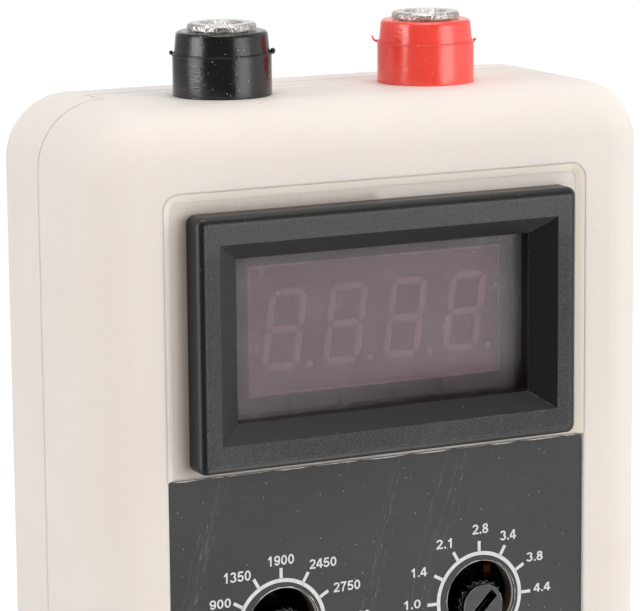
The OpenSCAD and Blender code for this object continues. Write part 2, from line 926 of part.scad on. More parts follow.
module transformer_core() {
    color("#3a3a3d")
        difference() {
            block(transformer_x, transformer_z, core_w, core_h, core_depth, core_depth + core_t);
            for (side = [-1, 1])
                block(transformer_x + side * (centre_leg_w + core_window) / 2, transformer_z,
                    core_window, core_h - 2 * leg_w, core_depth - cut, core_depth + core_t + cut);
        }
}

// The spool between its two flanges, standing on four pins
module transformer_bobbin() {
    pin_inset = 0.7;
    pin_x = spool_w / 2 - pin_inset;
    color("#d8d2c2")
        difference() {
            union() {
                block(transformer_x, transformer_z, spool_w, spool_h,
                    core_mid - spool_t / 2, core_mid + spool_t / 2);
                for (side = [-1, 1])
                    translate([0, 0, side * (spool_h - spool_flange_h) / 2]) {
                        block(transformer_x, transformer_z, spool_flange_w, spool_flange_h,
                            core_mid - spool_flange_t / 2, core_mid + spool_flange_t / 2);
                        for (x = [-pin_x, pin_x])
                            rod(transformer_x + x, transformer_z, lead_r,
                                core_mid + spool_flange_t / 2 - fit_gap, board_depth);
                    }
            }
            block(transformer_x, transformer_z, centre_leg_w + 2 * coil_gap, core_h,
                core_depth - coil_gap, core_depth + core_t + coil_gap);
        }
}

module transformer_winding() {
    coil_w = spool_flange_w - 0.2;
    coil_t = spool_flange_t - 0.6;
    coil_h = spool_h - 2 * spool_flange_h;
    color("#e3b23a")
        difference() {
            block(transformer_x, transformer_z, coil_w, coil_h, core_mid - coil_t / 2, core_mid + coil_t / 2);
            block(transformer_x, transformer_z, spool_w, coil_h + cut,
                core_mid - spool_t / 2, core_mid + spool_t / 2);
        }
}

// Two disc capacitors that stand on the board beside the right potentiometer
module hv_capacitors() {
    disc_r = 4.2;
    disc_t = 3.2;
    disc_rise = 1.2;
    disc_pitch = 9;
    lead_pitch = 5;
    low = board_depth - disc_rise;
    color("#2f5fa8")
        for (i = [-0.5, 0.5])
            translate([0, 0, i * disc_pitch]) {
                translate([board_right_x - disc_t / 2, depth(low - disc_r), board_z])
                    rotate([0, 90, 0])
                        cylinder(r = disc_r, h = disc_t);
                for (side = [-1, 1])
                    rod(board_right_x, board_z + side * lead_pitch / 2, lead_r, low - disc_t / 2, board_depth);
            }
}

module electrolytic_capacitor() {
    can_r = 4;
    can_l = 11.5;
    color("#22242c")
        rod(board_left_x, transistor_low_z - transistor_pin_l - part_gap - can_r, can_r,
            board_depth - can_l, board_depth);
}

// Four diodes of the voltage multiplier in a row on the board's back
module hv_diodes() {
    diode_r = 1.35;
    diode_l = 5.2;
    diode_pitch = 4;
    lead_l = 1.4;
    rise = diode_r + fit_gap;
    color(black)
        for (i = [-1.5:1.5])
            translate([i * diode_pitch, depth(board_back + rise), board_z + board_post_dz / 3]) {
                cylinder(r = diode_r, h = diode_l, center = true);
                cylinder(r = lead_r, h = diode_l + 2 * lead_l, center = true);
                for (side = [-1, 1])
                    translate([0, 0, side * (diode_l / 2 + lead_l - lead_r)])
                        rotate([90, 0, 0])
                            cylinder(r = lead_r, h = rise);
            }
}

module driver_chip() {
    chip_w = 9.4;
    chip_h = 6.4;
    chip_t = 3.2;
    chip_rise = 0.5;
    pin_w = 0.6;
    pin_h = 0.7;
    pin_l = 2;
    pin_pitch = 2.54;
    x = -board_w / 4;
    z = board_z - board_h / 6;
    color(black)
        block(x, z, chip_w, chip_h, board_back + chip_rise, board_back + chip_rise + chip_t);
    color(nickel)
        for (side = [-1, 1], i = [-1.5:1.5])
            block(x + i * pin_pitch, z + side * (chip_h + pin_h - fit_gap) / 2, pin_w, pin_h,
                board_back, board_back + pin_l);
}

// The transistor lies flat on the board, its tab below the upper left post
module power_transistor() {
    case_w = 6.6;
    case_t = 2.3;
    tab_w = 5.3;
    tab_t = 0.6;
    pin_w = 0.8;
    pin_pitch = 2.3;
    low = board_depth - fit_gap;
    color(black)
        block(board_left_x, transistor_low_z + transistor_h / 2, case_w, transistor_h, low - case_t, low);
    color(nickel) {
        block(board_left_x, tab_z, tab_w, tab_h + fit_gap, low - tab_t, low);
        for (side = [-1, 1])
            block(board_left_x + side * pin_pitch, transistor_low_z - transistor_pin_l / 2,
                pin_w, transistor_pin_l + fit_gap, low - tab_t, low);
    }
}

module board_small_parts() {
    film_w = 2;
    film_h = 2.1;
    film_t = 5.3;
    film_rise = 1.3;
    face_w = 1.5;
    face_h = 1.4;
    face_t = 0.3;
    chip_w = 1.2;
    chip_h = 2;
    chip_t = 0.6;
    regulator_w = 5;
    regulator_h = 4;
    regulator_t = 1.6;
    edge_gap = 1.4;
    film_x = right_pot_x + (pot_w + film_w) / 2 + fit_gap;
    film_z = shaft_z + film_rise;
    film_front = board_depth - film_t;
    color("#6b2414")
        block(film_x, film_z, film_w, film_h, film_front, board_depth);
    color("#c8641e")
        block(film_x, film_z, face_w, face_h, film_front - face_t, film_front + fit_gap);
    color("#8a5a30")
        for (i = [-1:2])
            block(2 * i * chip_w, board_z + board_h / 3, chip_w, chip_h, board_depth - chip_t, board_depth);
    color(black)
        block(transformer_x + regulator_w, board_z + (regulator_h - board_h) / 2 + edge_gap,
            regulator_w, regulator_h, board_depth - regulator_t, board_depth);
}

module test_button_body() {
    terminal_x = 2.6;
    terminal_w = 2.4;
    color(black)
        difference() {
            union() {
                rod(button_x, controls_z, flange_r, control_face, label_depth);
                rod(button_x, controls_z, barrel_r, label_depth - fit_gap, barrel_end);
                for (side = [-1, 1])
                    block(button_x + side * terminal_x, controls_z, terminal_t, terminal_w,
                        barrel_end - fit_gap, terminal_end);
            }
            rod(button_x, controls_z, cap_r + cap_gap, control_face - cut, lip_depth + fit_gap);
            rod(button_x, controls_z, cavity_r, lip_depth, cavity_end);
        }
}

module test_button_cap() {
    top = control_face - cap_h;
    dome_r = 0.9;
    collar_w = 0.5;
    color(red)
        translate([button_x, depth(collar_depth + collar_t), controls_z])
            rotate([90, 0, 0]) {
                rotate_extrude()
                    difference() {
                        square([cap_r, collar_depth + collar_t - top]);
                        translate([cap_r - dome_r, collar_depth + collar_t - top - dome_r])
                            outer_corner(dome_r);
                    }
                cylinder(r = cap_r + collar_w, h = collar_t);
                translate([0, 0, -stem_l])
                    cylinder(r = stem_r, h = stem_l + cut);
            }
}

// Compression spring: a round wire swept along a helix
module test_button_spring() {
    steps = 14 * spring_turns;
    sides = 6;
    rise = spring_low - spring_high - 2 * spring_wire_r;
    points = [for (i = [0:steps], j = [0:sides - 1])
        let (a = 360 * spring_turns * i / steps, b = 360 * j / sides, r = spring_r + spring_wire_r * cos(b))
        [r * cos(a), r * sin(a), rise * i / steps + spring_wire_r * sin(b)]];
    ring = [for (j = [0:sides - 1]) j];
    walls = [for (i = [0:steps - 1], j = [0:sides - 1])
        let (k = (j + 1) % sides)
        [i * sides + j, (i + 1) * sides + j, (i + 1) * sides + k, i * sides + k]];
    far_end = [for (j = [0:sides - 1]) steps * sides + sides - 1 - j];
    color(steel)
        translate([button_x, depth(spring_low - spring_wire_r), controls_z])
            rotate([90, 0, 0])
                polyhedron(points = points, faces = concat([ring], walls, [far_end]));
}

module test_button_nut() {
    nut_across = 14;
    nut_t = 2;
    color(nickel)
        translate([button_x, depth(floor_depth + fit_gap + nut_t), controls_z])
            rotate([90, 0, 0])
                difference() {
                    cylinder(d = nut_across / cos(30), h = nut_t, $fn = 6);
                    translate([0, 0, -cut])
                        cylinder(r = barrel_r + thread_gap, h = nut_t + 2 * cut);
                }
}

module power_switch_body() {
    terminal_z = 4;
    terminal_w = 2.8;
    well_h = rocker_h + 2 * (part_gap + control_flange_t * sin(rocker_tilt) + rocker_gap);
    color(black)
        difference() {
            union() {
                block(switch_x, controls_z, switch_w, switch_h, control_face, label_depth);
                block(switch_x, controls_z, switch_case_w, switch_case_h, label_depth - fit_gap, barrel_end);
                for (side = [-1, 1])
                    block(switch_x, controls_z + side * terminal_z, terminal_w, terminal_t,
                        barrel_end - fit_gap, terminal_end);
            }
            block(switch_x, controls_z, rocker_w + 2 * rocker_gap, well_h, control_face - cut,
                rocker_pivot + rocker_crest + part_gap);
            translate([switch_x, depth(rocker_pivot), controls_z])
                rotate([0, 90, 0])
                    cylinder(r = pivot_r + thread_gap, h = rocker_w + 2 * (pivot_l + fit_gap), center = true);
        }
}

// The rocker, drawn in its off position with the upper end standing out
module power_rocker() {
    half = rocker_h / 2;
    tips = rocker_crest + half * tan(rocker_tilt);
    side_low = 1;
    keel = 2.5;
    color(black)
        translate([switch_x, depth(rocker_pivot), controls_z])
            rotate([rocker_tilt, 0, 0])
                rotate([0, 90, 0]) {
                    translate([0, 0, -rocker_w / 2])
                        linear_extrude(rocker_w)
                            polygon([[-half, -tips], [0, -rocker_crest], [half, -tips], [half, side_low],
                                [keel, keel], [-keel, keel], [-half, side_low]]);
                    cylinder(r = pivot_r, h = rocker_w + 2 * pivot_l, center = true);
                }
}

module charge_board() {
    color("#26508f")
        difference() {
            block(0, charger_z, charger_w, charger_h, charger_depth, charger_back);
            at_charger_posts()
                rod(0, 0, charger_pin_r + fit_gap, charger_depth - cut, charger_back + cut);
        }
}

// The charging port's shell, open downwards, with its tongue
module charge_socket() {
    shell_t = 0.3;
    tongue_l = port_h - 2;
    tongue_t = 0.6;
    z = port_low_z + port_h / 2;
    color(nickel)
        difference() {
            block(0, z, port_w, port_h, charger_back, charger_back + port_t);
            block(0, z - cut, port_w - 2 * shell_t, port_h, charger_back + shell_t,
                charger_back + port_t - shell_t);
        }
    color(black)
        block(0, z, port_w / 2, tongue_l, port_depth - tongue_t / 2, port_depth + tongue_t / 2);
}

module charge_parts() {
    chip_w = 5;
    chip_h = 4;
    chip_t = 1.5;
    side_w = 1.4;
    side_h = 2.4;
    side_t = 0.8;
    side_x = charger_w / 2 - charger_post_inset;
    chip_z = charger_z + charger_post_inset;
    color(black)
        block(0, chip_z, chip_w, chip_h, charger_back, charger_back + chip_t);
    color("#c8641e")
        for (side = [-1, 1])
            block(side * side_x, chip_z + 1, side_w, side_h, charger_back, charger_back + side_t);
}

module battery_cell() {
    color("#9fa3ab")
        translate([0, depth(battery_depth + battery_t), battery_z])
            rotate([90, 0, 0])
                rounded_case(battery_w, battery_h, battery_t, battery_corner_r, battery_edge_r, battery_edge_r);
}

module battery_tape() {
    color("#e8e8e2")
        block(0, battery_z, battery_w - 2 * tape_inset, battery_h - 2 * tape_inset,
            body_d - wall - tape_t, body_d - wall);
}

// A screw with a cross slot, its head's underside at a depth, driven towards the front
module screw(seat, l) {
    slot_width = 0.7;
    slot_length = 2.8;
    slot_depth = 1;
    difference() {
        union() {
            rod(0, 0, screw_head_r, seat, seat + screw_head_h);
            rod(0, 0, screw_r, seat - l, seat + fit_gap);
        }
        for (turn = [0, 90])
            translate([0, depth(seat + screw_head_h), 0])
                rotate([0, turn, 0])
                    cube([slot_width, 2 * slot_depth, slot_length], center = true);
    }
}

module housing_screws() {
    color(steel)
        at_posts()
            screw(screw_seat, screw_seat - post_split + screw_grip);
}

module board_screws() {
    color(steel)
        at_board_posts()
            screw(board_back, board_t + screw_grip);
}

front_shell();
back_shell();
panel_label();
meter_bezel();
meter_window();
display_body();
display_segments();
meter_board();
meter_parts();
black_socket_body();
red_socket_body();
black_socket_contact();
red_socket_contact();
socket_nuts();
socket_lugs();
main_board();
left_pot_base();
right_pot_base();
left_pot_cover();
right_pot_cover();
left_pot_shaft();
right_pot_shaft();
transformer_core();
transformer_bobbin();
transformer_winding();
hv_capacitors();
electrolytic_capacitor();
hv_diodes();
driver_chip();
power_transistor();
board_small_parts();
test_button_body();
test_button_cap();
test_button_spring();
test_button_nut();
power_switch_body();
power_rocker();
charge_board();
charge_socket();
charge_parts();
battery_cell();
battery_tape();
housing_screws();
board_screws();
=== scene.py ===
import json
import math
import random

import bmesh
import bpy
from mathutils import Matrix, Vector


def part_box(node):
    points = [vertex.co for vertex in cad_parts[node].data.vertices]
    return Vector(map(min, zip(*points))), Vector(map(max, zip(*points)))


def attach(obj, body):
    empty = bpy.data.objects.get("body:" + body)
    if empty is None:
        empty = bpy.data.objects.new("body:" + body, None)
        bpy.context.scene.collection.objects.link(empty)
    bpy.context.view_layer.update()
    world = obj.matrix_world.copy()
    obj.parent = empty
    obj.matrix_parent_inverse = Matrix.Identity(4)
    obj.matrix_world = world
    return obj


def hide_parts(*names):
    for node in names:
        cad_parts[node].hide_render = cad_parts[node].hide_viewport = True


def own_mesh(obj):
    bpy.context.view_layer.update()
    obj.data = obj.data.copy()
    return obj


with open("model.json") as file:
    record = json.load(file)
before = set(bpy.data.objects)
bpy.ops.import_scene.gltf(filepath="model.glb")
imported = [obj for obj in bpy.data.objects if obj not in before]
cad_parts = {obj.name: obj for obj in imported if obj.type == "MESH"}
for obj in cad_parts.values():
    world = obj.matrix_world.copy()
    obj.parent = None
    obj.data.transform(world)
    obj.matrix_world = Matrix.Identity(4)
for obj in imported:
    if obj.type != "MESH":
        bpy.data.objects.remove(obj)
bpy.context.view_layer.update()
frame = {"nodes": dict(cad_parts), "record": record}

MM = 0.001

# The shafts sit a little right of and below their holes, and the printed rings a little left of them
SHAFT_SHIFT_X = 0.34 * MM
SHAFT_SHIFT_Z = -1.05 * MM
HOLE_R = 4.4 * MM
PRINT_SHIFT_X = -0.26 * MM

# Width of the rounding between the meter's sides and its face, in mm
BEZEL_ROUNDING = 0.98

# The line between the housing's halves, in mm
SEAM_Y = 0.55

# Top and corner radius of the sunk panel, in mm
STEP_TOP, STEP_CORNER = 125.94, 1.8

# Middle of the orange face behind the right hole, in mm
SMALL_PART_MIDDLE = (19.15, 75.87)

# The meter's middle line in mm, which the printed figures were measured from
METER_MIDDLE_Z = 109.1


def stretch_of(node):
    """Lowest corner, highest corner and middle of a CAD node."""
    low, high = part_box(node)
    return low, high, (low + high) / 2


LABEL_LOW, LABEL_HIGH, _ = stretch_of("panel_label")
LABEL_FACE = LABEL_LOW.y
SHELL_TOP = stretch_of("front_shell")[1].z
FRONT = stretch_of("front_shell")[0].y
SHAFTS = {side: stretch_of(f"{side}_pot_shaft")[2] for side in ("left", "right")}
SHAFT_TIP = stretch_of("left_pot_shaft")[0].y
HOLES = {side: (s.x - SHAFT_SHIFT_X, s.z - SHAFT_SHIFT_Z) for side, s in SHAFTS.items()}
SOCKETS = {tint: stretch_of(f"{tint}_socket_body")[2] for tint in ("black", "red")}


# Camera: the photograph's place in mm, direction in degrees and lens

CAMERA_PLACE = (-172.41, -348.24, 180.76)
CAMERA_YAW = 26.235
CAMERA_PITCH = 10.447
CAMERA_ROLL = -0.513
CAMERA_LENS = 189.78
FILM_WIDTH = 36


def make_camera():
    yaw, pitch, roll = (math.radians(a) for a in (CAMERA_YAW, CAMERA_PITCH, CAMERA_ROLL))
    forward = Vector((math.sin(yaw) * math.cos(pitch), math.cos(yaw) * math.cos(pitch), -math.sin(pitch)))
    level = Vector((math.cos(yaw), -math.sin(yaw), 0))
    upright = level.cross(forward)
    right = math.cos(roll) * level + math.sin(roll) * upright
    up = -math.sin(roll) * level + math.cos(roll) * upright
    view = bpy.data.cameras.new("photo_view")
    view.sensor_width = FILM_WIDTH
    view.lens = CAMERA_LENS
    view.clip_start = 0.01
    view.clip_end = 50
    camera = bpy.data.objects.new("photo_view", view)
    turn = Matrix((right, up, -forward)).transposed()
    camera.matrix_world = Matrix.Translation(Vector(CAMERA_PLACE) * MM) @ turn.to_4x4()
    bpy.context.scene.collection.objects.link(camera)
    bpy.context.scene.camera = camera


# Meshes

def mesh_of(name, shape, smooth=False):
    mesh = bpy.data.meshes.new(name)
    shape.to_mesh(mesh)
    shape.free()
    for face in mesh.polygons:
        face.use_smooth = smooth
    return mesh


def new_object(name, shape, material, smooth=False):
    mesh = mesh_of(name, shape, smooth)
    mesh.materials.append(material)
    made = bpy.data.objects.new(name, mesh)
    bpy.context.scene.collection.objects.link(made)
    return made


def add_piece(name, shape, material, body="housing", smooth=False):
    """Puts a shape, built in the CAD's own frame, on the body that it moves with."""
    piece = new_object(name, shape, material, smooth)
    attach(piece, body)
    return piece


def on_circle(radius, step, steps):
    """A point of a circle round zero, counted from its right side."""
    a = 2 * math.pi * step / steps
    return radius * math.cos(a), radius * math.sin(a)


def join_loops(shape, loops, round_again=True, last_to_first=False):
    """Faces between each loop of corners and the next. Open lines aren't closed round."""
    following = loops[1:] + loops[:1] if last_to_first else loops[1:]
    for here, there in zip(loops, following):
        for i in range(len(here) if round_again else len(here) - 1):
            j = (i + 1) % len(here)
            shape.faces.new((here[i], here[j], there[j], there[i]))


def raise_outline(shape, outline, back, front):
    """A flat figure, given by its corners as seen from the front, as a thin slab between two Y planes."""
    rear, face = ([shape.verts.new((x, y, z)) for x, z in outline] for y in (back, front))
    shape.faces.new(face)
    shape.faces.new(rear[::-1])
    join_loops(shape, [rear, face])


def raise_ring(shape, middle, inner, outer, back, front):
    """A flat ring between two Y planes; inner and outer give a radius for each step round it."""
    loops = []
    for radii, y in ((inner, front), (outer, front), (outer, back), (inner, back)):
        points = [on_circle(r, i, len(radii)) for i, r in enumerate(radii)]
        loops.append([shape.verts.new((middle[0] + x, y, middle[1] + z)) for x, z in points])
    join_loops(shape, loops, last_to_first=True)
    bmesh.ops.recalc_face_normals(shape, faces=shape.faces)


def sheet(columns, rows, corner):
    """A flat sheet of cells; corner gives the place at a share of its width and of its height."""
    shape = bmesh.new()
    lines = [[shape.verts.new(corner(i / columns, j / rows)) for i in range(columns + 1)]
             for j in range(rows + 1)]
    join_loops(shape, lines, round_again=False)
    return shape


def lump(shape, middle, radii):
    """Closed rounded lump."""
    rings, sides = 8, 12
    rows = []
    for i in range(1, rings):
        a = math.pi * i / rings
        across = [on_circle(math.sin(a), j, sides) for j in range(sides)]
        rows.append([shape.verts.new(middle + Vector((x * radii[0], y * radii[1], math.cos(a) * radii[2])))
                     for x, y in across])
    tops = [shape.verts.new(middle + Vector((0, 0, s * radii[2]))) for s in (1, -1)]
    for j in range(sides):
        k = (j + 1) % sides
        for here, there in zip(rows, rows[1:]):
            shape.faces.new((here[j], there[j], there[k], here[k]))
        shape.faces.new((tops[0], rows[0][j], rows[0][k]))
        shape.faces.new((tops[1], rows[-1][k], rows[-1][j]))


def tube(shape, points, radii):
    """Round thread through the points, closed at both ends."""
    sides = 8
    around = [on_circle(1, j, sides) for j in range(sides)]
    loops = []
    for i, point in enumerate(points):
        ahead = (points[min(i + 1, len(points) - 1)] - points[max(i - 1, 0)]).normalized()
        one = ahead.orthogonal().normalized() if i == 0 else (one - ahead * one.dot(ahead)).normalized()
        two = ahead.cross(one)
        loops.append([shape.verts.new(point + radii[i] * (x * one + y * two)) for x, y in around])
    join_loops(shape, loops)
    shape.faces.new(loops[0][::-1])
    shape.faces.new(loops[-1])


def wander(value, step, low, high, luck):
    """The next value of an uneven edge, a random step away and kept between two limits."""
    return min(high, max(low, value + luck.uniform(-step, step)))


# Nodes

FLOAT, COLOUR, VECTOR = "NodeSocketFloat", "NodeSocketColor", "NodeSocketVector"


class Work:
    """The shader tree that all helpers add to. It's the group's, finish's or world's that was begun last."""
    tree = None


def put(kind, inputs=None, **settings):
    """Adds a shader node and gives its outputs. An input is a plain value or the output that feeds it."""
    made = Work.tree.nodes.new("ShaderNode" + kind)
    for name, value in settings.items():
        setattr(made, name, value)
    for name, value in (inputs or {}).items():
        if isinstance(value, bpy.types.NodeSocket):
            link(value, made.inputs[name])
        else:
            made.inputs[name].default_value = value
    return made.outputs


def link(source, target):
    Work.tree.links.new(source, target)


def maths(operation, *values, clamp=False):
    return put("Math", dict(enumerate(values)), operation=operation, use_clamp=clamp)[0]


def plus(first, second, clamp=False):
    return maths("ADD", first, second, clamp=clamp)


def minus(first, second, clamp=False):
    return maths("SUBTRACT", first, second, clamp=clamp)


def times(first, *others):
    for other in others:
        first = maths("MULTIPLY", first, other)
    return first


def apart(first, second):
    """How far two values are from each other."""
    return maths("ABSOLUTE", minus(first, second))


def spread(value, low, high, to_low=0.0, to_high=1.0):
    """Stretches the part of a value between low and high, and clamps the rest."""
    return put("MapRange", {0: value, 1: low, 2: high, 3: to_low, 4: to_high})[0]


def grey(level):
    return level, level, level


def blend(share, first, second):
    """Mix of two colours, each of them an output or plain red, green and blue."""
    first, second = ((*colour, 1) if isinstance(colour, tuple) else colour for colour in (first, second))
    return put("Mix", {0: share, 6: first, 7: second}, data_type="RGBA")[2]


def noise(place, scale, detail=2, roughness=0.5):
    inputs = {"Vector": place, "Scale": scale, "Detail": detail, "Roughness": roughness}
    return put("TexNoise", inputs)[0]


def in_millimetres():
    place = put("TexCoord")["Object"]
    return put("VectorMath", {0: place, 1: (1 / MM,) * 3}, operation="MULTIPLY")[0]


def place_in_mm():
    """X, Y and Z in the frame, in mm."""
    return put("SeparateXYZ", {0: in_millimetres()})


def flat_normal():
    return put("NewGeometry")["Normal"]


def facing():
    """X, Y and Z of the surface's own normal."""
    return put("SeparateXYZ", {0: flat_normal()})


def lean(share, normal, toward):
    """A normal, turned by a share toward a fixed direction."""
    mixed = put("Mix", {0: share, 4: normal, 5: toward}, data_type="VECTOR")[1]
    return put("VectorMath", {0: mixed}, operation="NORMALIZE")[0]


def inside_outline(node):
    """Distance in mm from the upright sides and from the level sides of a CAD node's outline, seen from the
    front, and the place in mm."""
    low, high, middle = stretch_of(node)
    place = place_in_mm()
    reach = [minus((high[axis] - low[axis]) / 2 / MM, apart(place[axis], middle[axis] / MM))
             for axis in (0, 2)]
    return reach, place


def new_group(name, inputs, outputs):
    """Begins a shader node group; inputs give the default for each name, outputs the kind."""
    group = Work.tree = bpy.data.node_groups.new(name, "ShaderNodeTree")
    for socket, default in inputs.items():
        kind = COLOUR if isinstance(default, tuple) else FLOAT
        group.interface.new_socket(socket, in_out="INPUT", socket_type=kind).default_value = default
    for socket, kind in outputs.items():
        group.interface.new_socket(socket, in_out="OUTPUT", socket_type=kind)
    entry, leave = group.nodes.new("NodeGroupInput"), group.nodes.new("NodeGroupOutput")
    return group, entry.outputs, leave.inputs


# Effects that more than one material uses

def build_moulded_grain():
    """Fine spark-eroded texture of moulded plastic."""
    group, given, result = new_group(
        "moulded_grain", {"Grains per mm": 3.0, "Waves per mm": 0.1, "Wave share": 0.3}, {"Height": FLOAT})
    place = in_millimetres()
    fine = noise(place, given[0], 3, 0.6)
    wave = noise(place, given[1])
    link(plus(fine, times(wave, given[2])), result[0])
    return group


def build_tone_drift():
    """Slow change of a colour over the surface, with a finer mottling in it."""
    white = (1, 1, 1, 1)
    group, given, result = new_group(
        "tone_drift", {"Colour": white, "Other colour": white, "Patches per mm": 0.05, "Mottling": 0.2},
        {"Colour": COLOUR})
    place = in_millimetres()
    patch = spread(noise(place, given[2], 3), 0.3, 0.7)
    mottle = spread(noise(place, 1.3, 5, 0.7), 0.3, 0.7)
    slow = times(patch, minus(1.0, given[3]))
    share = plus(slow, times(mottle, given[3]), clamp=True)
    link(blend(share, given[0], given[1]), result[0])
    return group


def build_specks():
    """Small round specks of dust, some of them side by side."""
    group, given, result = new_group(
        "specks", {"Cells per mm": 1.0, "Size": 0.1, "Share": 0.1}, {"Mask": FLOAT})
    place = in_millimetres()
    cells = put("TexVoronoi", {"Vector": place, "Scale": given[0]}, feature="F1")
    pick = put("SeparateColor", {0: cells["Color"]})
    radius = times(given[1], plus(0.4, pick[1]))
    near = maths("LESS_THAN", cells["Distance"], radius)
    chosen = maths("LESS_THAN", pick[0], given[2])
    link(times(near, chosen), result[0])
    return group


def build_scratches():
    """Thin slanting scratches that fade in and out."""
    group, given, result = new_group(
        "scratches", {"Slant": 0.3, "Lines per mm": 0.6, "Share": 0.02}, {"Mask": FLOAT})
    place = place_in_mm()
    across = minus(place[0], times(place[2], given[0]))
    along = times(place[2], 0.02)
    bent = put("CombineXYZ", {0: times(across, given[1]), 2: along})[0]
    narrow = apart(noise(bent, 1.0, 4, 0.9), 0.5)
    line = spread(narrow, 0.0, given[2], 1.0, 0.0)
    there = spread(noise(bent, 0.35, 1), 0.56, 0.6)
    link(times(line, there), result[0])
    return group


def build_edge_wear():
    """Mask of the outer edges, broken up as rubbed edges are, and the normal of edges rounded a little. The
    mask serves for wear, and on the bezel also for a painted highlight.
    """
    group, given, result = new_group(
        "edge_wear_and_highlight", {"Width in m": 0.0003, "Share": 1.0}, {"Mask": FLOAT, "Rounded": VECTOR})
    rounded = put("Bevel", {"Radius": given[0]}, samples=4)[0]
    both = {0: rounded, 1: flat_normal()}
    alike = put("VectorMath", both, operation="DOT_PRODUCT")["Value"]
    edge = spread(alike, 0.75, 0.97, 1.0, 0.0)
    rub = spread(noise(in_millimetres(), 1.1, 4), 0.35, 0.6)
    link(times(edge, rub, given[1]), result[0])
    link(rounded, result[1])
    return group


def build_dial_holes():
    """Distance in mm from the nearer dial hole's axis, and depth in mm behind the label's face."""
    group, _, result = new_group("dial_holes", {}, {"Distance": FLOAT, "Depth": FLOAT})
    place = place_in_mm()
    (left, height), (right, _) = HOLES["left"], HOLES["right"]
    across = minus(apart(place[0], (left + right) / 2 / MM), (right - left) / 2 / MM)
    up = minus(place[2], height / MM)
    square = plus(times(across, across), times(up, up))
    link(maths("SQRT", square), result[0])
    link(minus(place[1], LABEL_FACE / MM), result[1])
    return group


def build_turn_marks():
    """Level lines round an upright turned or moulded piece, broken here and there."""
    group, given, result = new_group("turn_marks", {"Lines per mm": 8.0, "Share": 0.5}, {"Height": FLOAT})
    place = place_in_mm()
    flat = put("CombineXYZ", {0: times(place[0], 0.15), 1: times(place[1], 0.15),
                              2: times(place[2], given[0])})[0]
    link(times(noise(flat, 1.0), given[1]), result[0])
    return group


GRAIN = build_moulded_grain()
DRIFT = build_tone_drift()
SPECKS = build_specks()
SCRATCHES = build_scratches()
EDGES = build_edge_wear()
DIAL_HOLES = build_dial_holes()
TURN_MARKS = build_turn_marks()


def use(group, **inputs):
    """Places an effect in a material. Its inputs are named with _ for each space."""
    named = {name.replace("_", " "): value for name, value in inputs.items()}
    return put("Group", named, node_tree=group)


def drift(colour, other, patches, mottling=0.5):
    return use(DRIFT, Colour=(*colour, 1), Other_colour=(*other, 1), Patches_per_mm=patches,
               Mottling=mottling)[0]


def grain_of(grains, waves, wave_share):
    return use(GRAIN, Grains_per_mm=grains, Waves_per_mm=waves, Wave_share=wave_share)[0]


def specks(cells, size, share):
    return use(SPECKS, Cells_per_mm=cells, Size=size, Share=share)[0]


def edges(width, share=0.0):
    return use(EDGES, Width_in_m=width, Share=share)


def new_finish(name, **plain):
    """Begins a material; plain gives the sockets of its shader that are the same all over."""
    material = bpy.data.materials.new(name)
    material.use_nodes = True
    Work.tree = material.node_tree
    for socket, value in plain.items():
        principled().inputs[socket.replace("_", " ")].default_value = value
    return material


def principled():
    """The shader of the material that was begun last."""
    return Work.tree.nodes["Principled BSDF"]


def feed(**sources):
    """Joins sources to the shader's sockets, which are named with _ for each space."""
    for socket, source in sources.items():
        link(source, principled().inputs[socket.replace("_", " ")])


def bump(height, depth, normal=None):
    """Relief of a depth in m, on the surface's own normal or on another."""
    inputs = {"Height": height, "Distance": depth}
    if normal is not None:
        inputs["Normal"] = normal
    feed(Normal=put("Bump", inputs)[0])


# Finishes of the outside

def painted_light_step(place):
    """Mask of the step round the sunk panel, upright faces just behind the front, which is painted paler as
    painted light and made smoother.
    """
    upright = spread(facing()[1], -0.8, -0.6)
    shallow = spread(place[1], FRONT / MM + 1.0, FRONT / MM + 0.7)
    return times(upright, shallow)


def housing_texture(depth, normal):
    """Fine mould texture of the housing, which varies its gloss too."""
    grain = grain_of(grains=2.6, waves=0.08, wave_share=1.5)
    feed(Roughness=spread(grain, 0.3, 1.6, 0.42, 0.62))
    bump(grain, depth, normal)


